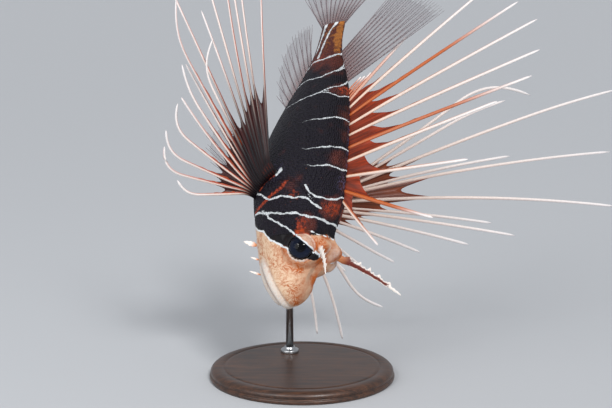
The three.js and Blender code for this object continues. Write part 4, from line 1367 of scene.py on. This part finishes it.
def add_scales(build, mirror, width, spacing, depth):
    """Overlapping scales over one flank, each a thin solid that follows the body's form."""
    t, turn, size = scale_roots(width, spacing)
    rng = np.random.default_rng(21)
    t = t + rng.uniform(-SCALE_SHIFT, SCALE_SHIFT, len(t))
    turn = turn + rng.uniform(-SCALE_TURN, SCALE_TURN, len(t))
    size = size * rng.uniform(*SCALE_SIZES, len(t))
    root = bare_skin(t, turn)
    edge = np.array(FACE_EDGE, float)
    behind_face = t - np.interp(np.degrees(np.abs(turn)), edge[:, 0], edge[:, 1])
    clear = np.linalg.norm(root - eye_frame(mirror)[0], axis=1)
    keep = (clear > BARE_ROUND_EYE) & (behind_face > BARE_BEHIND_FACE) & (turn * mirror >= 0)
    t, turn, size, root = t[keep], turn[keep], size[keep], root[keep]
    places, heights, rim, faces = scale_form()
    radius = np.maximum(np.hypot(root[:, 1], root[:, 2]), 1.5)
    span = (width * size)[:, None]
    at = np.minimum(t[:, None] + places[:, 0] * span * SCALE_LENGTH, STANDARD_LENGTH)
    turned = turn[:, None] + places[:, 1] * span / radius[:, None]
    tilt = rng.uniform(-SCALE_TILT, SCALE_TILT, len(t))[:, None] * (1 + places[:, 0])
    grow = heights * size[:, None] + tilt - depth
    p = dressed_skin(at, turned, grow)
    fields = markings(at, turned)
    fields["rim"] = np.broadcast_to(rim, at.shape)
    shift = (np.arange(len(t)) * len(places))[:, None, None]
    uv = np.stack([unwrap_u(t), unwrap_v(turn)], 1)[:, None] + places * PATCH / SCALE_SPAN
    every = (faces + shift).reshape(-1, 3)
    p = posed(p).reshape(-1, 3)
    build.add(p, every, fields, uv.reshape(-1, 2)[every])


IRIS_DISH = 0.35
CORNEA = {"inside": 0.06, "outside": 0.22, "edge": 22.0}


def posed_eye_frame(mirror):
    centre, *axes = eye_frame(mirror)
    return pose(*centre), *(pose_direction(EYE["t"], *axis) for axis in axes)


def add_eyeball(build, mirror, radius):
    """A ball with a slightly dished iris that faces outwards."""
    centre, out, across, over = posed_eye_frame(mirror)
    iris = radius * IRIS_SHARE
    rim = math.acos(IRIS_SHARE)
    back = np.linspace(-math.pi / 2, rim, 26)[1:]
    ground = radius * math.sin(rim)
    profile = [(radius * math.cos(a), radius * math.sin(a)) for a in back]
    for share in (0.97, 0.85, 0.7, 0.56, 0.5, 0.44, 0.3, 0.15, 0.02):
        profile.append((iris * share, ground - IRIS_DISH * (1 - share)))
    profile = np.array(profile)
    turn = np.linspace(0, 2 * math.pi, 64, endpoint=False)
    front = np.arange(len(profile)) >= len(back) - 1
    ring = np.where(front, profile[:, 0] / iris, 1.3)
    flat = np.ones((len(profile), len(turn)))
    fields = {"ring": ring[:, None] * flat, "clock_x": np.cos(turn) * flat}
    fields["clock_y"] = np.sin(turn) * flat
    build.loft(lathe_rings(profile, len(turn), out, across, over, centre), fields)


def add_cornea(build, mirror, radius):
    """A thin clear dome over the iris."""
    centre, out, across, over = posed_eye_frame(mirror)
    angle = np.radians(np.linspace(CORNEA["edge"], 89.7, 26))
    arc = np.stack([np.cos(angle), np.sin(angle)], 1)
    profile = np.vstack([arc[::-1] * (radius + CORNEA["inside"]), arc * (radius + CORNEA["outside"])])
    build.loft(lathe_rings(profile, 64, out, across, over, centre))


# Horns over the eyes, and small flaps of skin on the lips


HORN = {"t": 26.0, "rise": 20.0, "side": 9.0, "length": 36.0, "bow": 1.2, "sunk": 2.5}
# Each horn's heading towards tail, left and back, half its breadth, how far the frills of its
# two edges stand out, and how much whiter it is all over
HORNS = {
    1: {"heading": (-0.36, 0.7, 0.6), "half": 1.85, "frills": (1.5, 0.35), "paler": 0.0},
    -1: {"heading": (-0.6, -0.6, 0.52), "half": 1.25, "frills": (1.15, 0.7), "paler": 0.6},
}
FLAPS = [
    {"t": 32.0, "turn": 156.0, "length": 7.5, "breadth": 1.6},
    {"t": 24.5, "turn": 156.0, "length": 4.5, "breadth": 0.7},
    {"t": 16.5, "turn": 154.0, "length": 6.5, "breadth": 0.7},
]
FLAP_LEAN = 0.3


def add_horn(build, mirror):
    """A flat tapering horn with ragged lobes along both edges. The left one's broad side is
    turned to the viewer."""
    look = HORNS[mirror]
    t = HORN["t"]
    root = pose(t, HORN["side"] * mirror, HORN["rise"])
    go = pose_direction(t, *look["heading"])
    rearward = pose_direction(t, 0.8, 0, 0.5)
    flat = unit(np.cross(go, rearward) if mirror < 0 else (AWAY @ go) * go - AWAY)
    broad = np.cross(flat, go)
    s = np.linspace(0, 1, 72)
    phi = np.linspace(0, 2 * math.pi, 24, endpoint=False)
    centre = root + go * mix(-HORN["sunk"], HORN["length"], s)[:, None]
    centre = centre + broad * (HORN["bow"] * np.sin(math.pi * s))[:, None]
    shaft = mix(look["half"], 0.36, s**0.8) * np.sqrt(np.clip((1 - s) / 0.02, 0.02, 1))
    thick = mix(0.7, 0.22, s) * np.sqrt(np.clip((1 - s) / 0.02, 0.02, 1))
    lobes = []
    for side, phase, frill in zip((1, -1), (0.4, 2.1), look["frills"]):
        wave = np.clip(np.sin(HORN["length"] * s * 1.15 + phase), -0.25, 1) ** 2
        wave = wave + 0.5 * np.clip(np.sin(HORN["length"] * s * 2.6 + 2 * phase), 0, 1)
        lobes.append(side * frill * wave * ease(s, 0.04, 0.16) * (1 - ease(s, 0.8, 0.98)))
    across = np.cos(phi)
    reach = np.where(across[None] > 0, lobes[0][:, None], lobes[1][:, None])
    a = shaft[:, None] * across + reach * np.abs(across)[None] ** 4
    b = thick[:, None] * np.sin(phi) * (1 - 0.75 * np.abs(across) ** 3)
    rings = centre[:, None] + broad * a[..., None] + flat * b[..., None]
    white = 0.15 + 0.75 * np.abs(across)[None] ** 3 * ease(s, 0.12, 0.3)[:, None]
    white = np.maximum(white + look["paler"], ease(s, 0.72, 0.86)[:, None])
    root_tone = (1 - ease(s, 0.05, 0.22))[:, None] * np.ones(len(phi))
    build.loft(rings, {"white": np.clip(white, 0, 1), "root_tone": root_tone})


def add_flap(build, flap, mirror):
    """A small leaf of skin, attached by a narrow stalk."""
    turn = math.radians(flap["turn"]) * mirror
    root = on_skin(flap["t"], turn, -0.4)
    outward = unit(on_skin(flap["t"], turn, 2.0) - root)
    go = unit(outward + FLAP_LEAN * pose_direction(flap["t"], 1, 0, 0))
    broad = unit(np.cross(go, pose_direction(flap["t"], 0, 1, 0.2)))
    flat = np.cross(go, broad)
    s = np.linspace(0, 1, 26)
    phi = np.linspace(0, 2 * math.pi, 14, endpoint=False)
    wide = flap["breadth"] / 2 * (0.35 + 1.25 * np.sin(math.pi * s**0.8)) * (1 + 0.15 * np.sin(26 * s))
    wide = wide * np.sqrt(np.clip((1 - s) / 0.06, 0.02, 1))
    centre = root + go * (flap["length"] * s)[:, None] + flat * (0.8 * s**2)[:, None]
    a = wide[:, None] * np.cos(phi)
    b = (0.26 * np.sqrt(np.clip((1 - s) / 0.06, 0.05, 1)))[:, None] * np.sin(phi)
    rings = centre[:, None] + broad * a[..., None] + flat * b[..., None]
    tone = (1 - ease(s, 0.1, 0.5))[:, None] * np.ones(len(phi))
    build.loft(rings, {"white": np.full(tone.shape, 0.75), "root_tone": tone})


# The stand

STAND_BASE = [
    (0.1, 0.0), (46.4, 0.0), (47.1, 0.25), (47.35, 0.8), (47.35, 1.7), (47.0, 2.1), (46.6, 2.25),
    (46.45, 2.6), (46.7, 3.0), (46.85, 3.6), (46.6, 4.4), (46.0, 5.1), (45.2, 5.6), (44.2, 5.9),
    (43.0, 6.0), (40.4, 5.96), (40.2, 5.75), (39.8, 5.75), (39.6, 5.94), (38.0, 5.98), (0.1, 6.0),
]
ROD = {"t": 98.0, "into": -9.0, "radius": 2.0, "from": 2.0}
COLLAR = [
    (2.05, 5.9), (4.6, 5.9), (4.75, 6.1), (4.75, 7.4), (4.5, 7.8), (3.2, 8.0), (2.9, 8.3),
    (2.8, 9.1), (2.6, 9.35), (2.05, 9.4),
]
UP = np.array((0.0, 0.0, 1.0))
FORWARD = np.array((0.0, 1.0, 0.0))


def add_turned(build, profile, centre, segments=128):
    """A solid turned round an upright axis."""
    build.loft(lathe_rings(profile, segments, UP, ACROSS, FORWARD, centre))


def closed_ring(build, profile, centre, segments=64):
    """A turned ring whose profile closes on itself."""
    profile = np.array(profile + profile[:1], float)
    rings = lathe_rings(profile, segments, UP, ACROSS, FORWARD, centre)
    _, _, faces = ring_grid(len(profile) - 1, segments)
    build.add(rings[:-1].reshape(-1, 3), faces)


# Settings that a user would change


def colour(name, description, code):
    return FloatVectorProperty(
        name=name, description=description, subtype="COLOR", size=4, default=linear(code)
    )


def length(name, description, metres):
    return FloatProperty(name=name, description=description, default=metres, unit="LENGTH")


class SkinSettings(bpy.types.PropertyGroup):
    coat_depth: length("Coat depth", "How far the skin lies under the CAD body's surface", 0.00042)
    scale_width: length("Scale width", "Width of a scale on the flank", 0.0016)
    row_spacing: length("Row spacing", "From one row of scales to the next", 0.001)
    roughness: FloatProperty(
        name="Roughness", description="Sheen of the wet skin", default=0.52, subtype="FACTOR"
    )
    dark: colour("Dark", "Pigment of the dark bands", 0x120F12)
    brown: colour("Brown", "Red-brown patches in the dark bands", 0x5E2C1E)
    amber: colour("Amber", "Patch on the root of the tail", 0xB27030)
    red: colour("Red", "Rusty patches of the head and stripes at the side fins", 0xAC421C)
    cream: colour("Cream", "Ground colour of the face", 0xDDBEA0)
    orange: colour("Orange", "Fine net on the face", 0xB05A26)
    white: colour("White", "Lips and chin", 0xD8CFC6)
    line: colour("Lines", "Thin lines between the dark bands", 0xDDE2E4)
    # Painted highlight: colour of the glint on the scales' edges and of their bluish bloom
    glint: colour("Scale glint", "Bluish light on the edges of the scales", 0x554F6E)


class FinSettings(bpy.types.PropertyGroup):
    roughness: FloatProperty(
        name="Roughness", description="Sheen of the fin rays", default=0.4, subtype="FACTOR"
    )
    ray_root: colour("Ray root", "Fin rays near the body", 0xE4C6B2)
    ray: colour("Ray", "Fin rays near their tips", 0xF6F0EE)
    ray_edge: colour("Ray edge", "Back edge of spines and of the left side fin's rays", 0xB4602C)
    side_edge: colour("Red ray edge", "Back edge of the right side fin's rays", 0xA83E1E)
    orange_ray: colour("Orange ray", "The spines that are orange", 0xBC5814)
    web_red: colour("Red membrane", "Bright edges of the membranes", 0x9C3410)
    web_spine: colour("Spine membrane", "Membrane of the spiny fin", 0x782A12)
    web_near: colour("Dark membrane", "Inner membrane of the right side fin", 0x141015)
    web_near_rim: colour("Maroon membrane", "Outer membrane of the right side fin", 0x421816)
    # The left fin's membrane is the same skin as the right's, painted browner and lighter with light
    # shining through it from behind
    web_far_lit_through: colour("Brown membrane", "Inner membrane of the left side fin", 0x4E2216)
    web_far_rim_lit_through: colour("Red-brown membrane", "Outer membrane of the left side fin", 0x88401F)
    web_clear: colour("Clear membrane", "Clear fins of the back, belly and tail", 0x6A5C64)
    clear_ray: colour("Clear fin ray", "Rays of the clear fins", 0x8E8084)


class HeadSettings(bpy.types.PropertyGroup):
    eye_radius: length("Eye radius", "Radius of the eyeballs", 0.0061)
    iris: colour("Iris", "Dark iris", 0x07080D)
    # The iris rays' blue is a painted sheen
    sheen: colour("Iris rays", "Bluish rays of the iris", 0x141D34)
    horn_white: colour("Horn frill", "Frill and tip of the horns over the eyes", 0xF3EAE2)
    horn_red: colour("Horn shaft", "Shaft of the horn over the left eye", 0x6A2416)
    horn_root: colour("Horn root", "Root of the horns and flaps", 0xD98A58)


class StandSettings(bpy.types.PropertyGroup):
    wood_dark: colour("Dark grain", "Dark grain of the base", 0x2A1A12)
    wood_light: colour("Light grain", "Light grain of the base", 0x5C3A26)
    grain_width: length("Grain width", "Width of the wood's grain", 0.0025)
    steel: colour("Steel", "Rod and collar", 0xB9BBBD)


class StageSettings(bpy.types.PropertyGroup):
    paper: colour("Paper", "Floor paper", 0xC2C4C7)
    air: colour("Air", "Light from all around", 0xE6EAF0)
    air_strength: FloatProperty(
        name="Air strength", description="Strength of the light from all around", default=0.55
    )
    distance: length("Camera distance", "From the camera to the middle of its view", 0.65)
    lens: FloatProperty(
        name="Lens", description="Focal length", default=78.03, unit="CAMERA"
    )


# Operators: one for each group of pieces


class LIONFISH_OT_skin(bpy.types.Operator):
    """Make the skin of the head and body, with a rim round each eye"""

    bl_idname = "lionfish.skin"
    bl_label = "Skin"

    def execute(self, context):
        settings = context.scene.lionfish_skin
        build = Build()
        add_skin(build, settings.coat_depth / MM)
        for mirror in SIDES.values():
            add_eyelid(build, mirror)
            add_hood(build, mirror, context.scene.lionfish_head.eye_radius / MM)
        material = skin_material("Wet fish skin", settings, settings.roughness, False)
        covered = ("head", "lower_jaw", "gill_cover_left", "gill_cover_right", "trunk", "tail_stem")
        build.piece("skin", material, "dark_skin", covered)
        return {"FINISHED"}


class LIONFISH_OT_scales(bpy.types.Operator):
    """Cover the body with overlapping scales"""

    bl_idname = "lionfish.scales"
    bl_label = "Scales"

    def execute(self, context):
        settings = context.scene.lionfish_skin
        sizes = [settings.scale_width, settings.row_spacing, settings.coat_depth]
        material = skin_material("Fish scales", settings, settings.roughness - 0.06, True)
        for side, mirror in SIDES.items():
            build = Build()
            add_scales(build, mirror, *(size / MM for size in sizes))
            build.piece("scales_" + side, material, "dark_skin")
        return {"FINISHED"}


class LIONFISH_OT_eyes(bpy.types.Operator):
    """Make the eyes, each a painted ball under a clear dome"""

    bl_idname = "lionfish.eyes"
    bl_label = "Eyes"

    def execute(self, context):
        settings = context.scene.lionfish_head
        painted = eye_material("Painted glass eye", settings.iris, settings.sheen)
        clear = cornea_material("Clear glass")
        for side, mirror in SIDES.items():
            ball = Build()
            add_eyeball(ball, mirror, settings.eye_radius / MM)
            ball.piece("eyeball_" + side, painted, "eye", ("eye_" + side,))
            dome = Build()
            add_cornea(dome, mirror, settings.eye_radius / MM)
            dome.piece("cornea_" + side, clear, "eye")
        return {"FINISHED"}


class LIONFISH_OT_horns(bpy.types.Operator):
    """Make the ragged horns over the eyes and the flaps on the lips"""

    bl_idname = "lionfish.horns"
    bl_label = "Horns and flaps"

    def execute(self, context):
        settings = context.scene.lionfish_head
        shafts = {"right": settings.horn_root, "left": settings.horn_red}
        for side, mirror in SIDES.items():
            material = frill_material(
                "Frayed skin, " + side, shafts[side], settings.horn_white, settings.horn_root
            )
            horn = Build()
            add_horn(horn, mirror)
            horn.piece("frilled_horn_" + side, material, "horn", ("horn_" + side,))
        flaps = Build()
        for flap in FLAPS:
            for mirror in SIDES.values():
                add_flap(flaps, flap, mirror)
        flaps.piece("lip_flaps", bpy.data.materials["Frayed skin, right"], "horn")
        return {"FINISHED"}


class LIONFISH_OT_side_fins(bpy.types.Operator):
    """Make the two great side fins, with free ray tips"""

    bl_idname = "lionfish.side_fins"
    bl_label = "Side fins"

    def execute(self, context):
        settings = context.scene.lionfish_fins
        colours = {
            "right": (settings.web_near, settings.web_near_rim, settings.side_edge),
            # The left fin's membrane colours hold painted light shining through it from behind
            "left": (settings.web_far_lit_through, settings.web_far_rim_lit_through, settings.ray_edge),
        }
        for side, fin in SIDE_FINS.items():
            inner, outer, edge = colours[side]
            bone = ray_material(
                "Fin ray bone, " + side, settings, settings.roughness, inner, edge, fin["edged"]
            )
            skin = web_material(
                "Dark fin membrane, " + side, inner, outer, settings.web_red, 1.0, 1.0
            )
            paths = [pectoral_path(fin, j) for j in range(len(fin["lengths"]))]
            reach = [web_on_ray(size, fin["climbs"]) for size in fin["lengths"]]
            rays, webs, strips = Build(), Build(), Build()
            for i in range(len(paths)):
                half = mix(*fin["halves"], i / (len(paths) - 1))
                wide = (0.3, half, half * 0.8)
                thick = (0.3, half * 0.85, half * 0.7)
                toned = mix(*fin["toned"], ease(i, 5, 11)) / fin["lengths"][i]
                toned = (toned * 0.3, toned)
                add_ray(rays, paths, i, wide, thick, 1.0, toned, edge=fin["mirror"])
                if side == "right" and i > 6:
                    add_strip(strips, paths, i, (0.3, 0.85), 1.1, side=-1.0)
            for i in range(len(paths) - 1):
                add_web(webs, paths, i, reach[i : i + 2], 0.28)
            covered = ("pectoral_fin_" + side,)
            rays.piece("side_fin_rays_" + side, bone, "fin_rays", covered)
            webs.piece("side_fin_web_" + side, skin, "fin_web", covered)
            if strips.count:
                red = settings.web_red
                skin = web_material("Red fin membrane", red, red, settings.ray_edge, 1.0, 1.0)
                strips.piece("side_fin_strips_" + side, skin, "fin_web", covered)
        return {"FINISHED"}


class LIONFISH_OT_spines(bpy.types.Operator):
    """Make the spiny fin of the back, with skin behind each spine"""

    bl_idname = "lionfish.spines"
    bl_label = "Back spines"

    def execute(self, context):
        settings = context.scene.lionfish_fins
        orange, edge = settings.orange_ray, settings.ray_edge
        bone = ray_material("Fin spine bone", settings, settings.roughness, orange, edge, 0.9)
        skin = web_material(
            "Spiny fin membrane", settings.web_spine, settings.web_red, settings.web_red, 1.0, 1.0
        )
        paths = [median_path(*spine) for spine in DORSAL_SPINES]
        spines, webs = Build(), Build()
        for i in range(len(paths)):
            tone = ORANGE_SPINES.get(i, 0.0)
            size = min(1.0, 0.4 + DORSAL_SPINES[i][1] / 80)
            wide, thick = (size * np.array(part) for part in SPINE_HALVES)
            add_ray(spines, paths, i, wide, thick, tone, (0.55, 0.95))
            if DORSAL_SPINES[i][1] > STRIPPED_SPINE:
                add_strip(webs, paths, i, SPINE_STRIP, 1.5)
        for i in range(len(paths) - 1):
            add_web(webs, paths, i, SPINE_WEBS, 0.2)
        spines.piece("back_spines", bone, "fin_rays", ("spiny_dorsal_fin",))
        webs.piece("back_spine_webs", skin, "fin_web", ("spiny_dorsal_fin",))
        return {"FINISHED"}


class LIONFISH_OT_clear_fins(bpy.types.Operator):
    """Make the clear fins of the back, belly and tail"""

    bl_idname = "lionfish.clear_fins"
    bl_label = "Clear fins"

    def execute(self, context):
        settings = context.scene.lionfish_fins
        bone = clear_ray_material("Soft ray bone", settings.clear_ray, settings.roughness)
        clear = settings.web_clear
        skin = web_material("Clear fin membrane", settings.web_spine, clear, clear, 0.5, 0.12)
        for name, (count, path) in CLEAR_FINS.items():
            paths = [path(q) for q in np.linspace(0, 1, count)]
            rays, webs = Build(), Build()
            for i in range(len(paths)):
                for half in (-1, 1):
                    add_ray(rays, paths, i, (0.26, 0.3, 0.12), (0.26, 0.28, 0.12), 0, (0, 1), half)
            for i in range(len(paths) - 1):
                add_web(webs, paths, i, (0.94, 0.94), 0.05)
            rays.piece(name + "_rays", bone, "fin_rays", (name,))
            webs.piece(name + "_web", skin, "fin_web", (name,))
        return {"FINISHED"}


class LIONFISH_OT_stand(bpy.types.Operator):
    """Make the turned base, the rod and its collar"""

    bl_idname = "lionfish.stand"
    bl_label = "Stand"

    def execute(self, context):
        settings = context.scene.lionfish_stand
        wood = wood_material(
            "Oiled walnut", settings.wood_dark, settings.wood_light, settings.grain_width / MM
        )
        steel = steel_material("Brushed stainless steel", settings.steel)
        base = Build()
        add_turned(base, STAND_BASE, np.zeros(3), 160)
        base.piece("stand_base_turned", wood, "dark_wood", ("stand_base",))
        top = on_skin(ROD["t"], math.pi, ROD["into"])
        foot = np.array((top[0], top[1], 0.0))
        rod = Build()
        radius = ROD["radius"]
        profile = [(0.1, ROD["from"]), (radius, ROD["from"]), (radius, top[2]), (0.1, top[2])]
        add_turned(rod, profile, foot, 48)
        closed_ring(rod, COLLAR, foot)
        rod.piece("stand_rod_turned", steel, "steel", ("stand_rod",))
        return {"FINISHED"}


class LIONFISH_OT_stage(bpy.types.Operator):
    """Lay the floor, and set the lights and the camera"""

    bl_idname = "lionfish.stage"
    bl_label = "Stage"

    def execute(self, context):
        settings = context.scene.lionfish_stage
        floor = bpy.data.meshes.new("floor")
        corners = [(x * FLOOR_REACH, y * FLOOR_REACH, 0) for x, y in FLOOR_CORNERS]
        floor.from_pydata(corners, [], [(0, 1, 2, 3)])
        floor.materials.append(backdrop_material("Matte paper", settings.paper))
        floor = bpy.data.objects.new("floor", floor)
        context.scene.collection.objects.link(floor)
        world = bpy.data.worlds.new("studio")
        world.use_nodes = True
        background = world.node_tree.nodes["Background"]
        background.inputs["Color"].default_value = settings.air
        background.inputs["Strength"].default_value = settings.air_strength
        context.scene.world = world
        middle = Vector(VIEW_MIDDLE * MM)
        for name, (kind, place, size, strength) in LIGHTS.items():
            lamp = bpy.data.lights.new(name, kind)
            lamp.energy = strength
            if kind == "SUN":
                lamp.angle = math.radians(size)
            else:
                lamp.size = size
            lamp = bpy.data.objects.new(name, lamp)
            lamp.location = place
            lamp.rotation_euler = (middle - lamp.location).to_track_quat("-Z", "Y").to_euler()
            context.scene.collection.objects.link(lamp)
        camera = bpy.data.cameras.new("camera")
        camera.sensor_width = 36.0
        camera.lens = settings.lens
        camera.clip_start = 0.01
        camera = bpy.data.objects.new("camera", camera)
        eye = middle - Vector(AWAY) * settings.distance
        turned = Matrix([ACROSS, UPWARD, -AWAY]).transposed().to_4x4()
        camera.matrix_world = Matrix.Translation(eye) @ turned
        context.scene.collection.objects.link(camera)
        context.scene.camera = camera
        context.scene.view_settings.view_transform = "Standard"
        return {"FINISHED"}


VIEW_MIDDLE = np.array((2.0, -16.0, 92.6))
FLOOR_REACH = 15.0
FLOOR_CORNERS = ((-1, -1), (1, -1), (1, 1), (-1, 1))
# Each light's kind, place in metres, size in degrees or metres, and strength. The suns stand for
# large soft boxes far off, so that the floor is lit evenly.
LIGHTS = {
    "key": ("SUN", (0.4, -0.9, 0.95), 14.0, 1.75),
    "fill": ("SUN", (-1.0, -0.8, 0.6), 40.0, 0.55),
    "sheen": ("AREA", (-0.35, -0.55, 0.55), 0.25, 1.6),
}

SETTINGS = {
    "lionfish_skin": SkinSettings,
    "lionfish_fins": FinSettings,
    "lionfish_head": HeadSettings,
    "lionfish_stand": StandSettings,
    "lionfish_stage": StageSettings,
}
OPERATORS = (
    LIONFISH_OT_skin,
    LIONFISH_OT_scales,
    LIONFISH_OT_eyes,
    LIONFISH_OT_horns,
    LIONFISH_OT_side_fins,
    LIONFISH_OT_spines,
    LIONFISH_OT_clear_fins,
    LIONFISH_OT_stand,
    LIONFISH_OT_stage,
)


class LIONFISH_PT_panel(bpy.types.Panel):
    """Sizes and colours of the lionfish, and a button for each group of pieces"""

    bl_idname = "LIONFISH_PT_panel"
    bl_label = "Clearfin lionfish"
    bl_space_type = "VIEW_3D"
    bl_region_type = "UI"
    bl_category = "Lionfish"

    def draw(self, context):
        for key, group in SETTINGS.items():
            box = self.layout.box()
            for name in group.__annotations__:
                box.prop(getattr(context.scene, key), name)
        for operator in OPERATORS:
            self.layout.operator(operator.bl_idname)


def register():
    for group in SETTINGS.values():
        bpy.utils.register_class(group)
    for key, group in SETTINGS.items():
        setattr(bpy.types.Scene, key, PointerProperty(type=group))
    for operator in OPERATORS:
        bpy.utils.register_class(operator)
    bpy.utils.register_class(LIONFISH_PT_panel)


def unregister():
    bpy.utils.unregister_class(LIONFISH_PT_panel)
    for operator in reversed(OPERATORS):
        bpy.utils.unregister_class(operator)
    for key in SETTINGS:
        delattr(bpy.types.Scene, key)
    for group in SETTINGS.values():
        bpy.utils.unregister_class(group)


def main():
    register()
    bpy.ops.lionfish.skin()
    bpy.ops.lionfish.scales()
    bpy.ops.lionfish.eyes()
    bpy.ops.lionfish.horns()
    bpy.ops.lionfish.side_fins()
    bpy.ops.lionfish.spines()
    bpy.ops.lionfish.clear_fins()
    bpy.ops.lionfish.stand()
    bpy.ops.lionfish.stage()


if __name__ == "__main__":
    main()
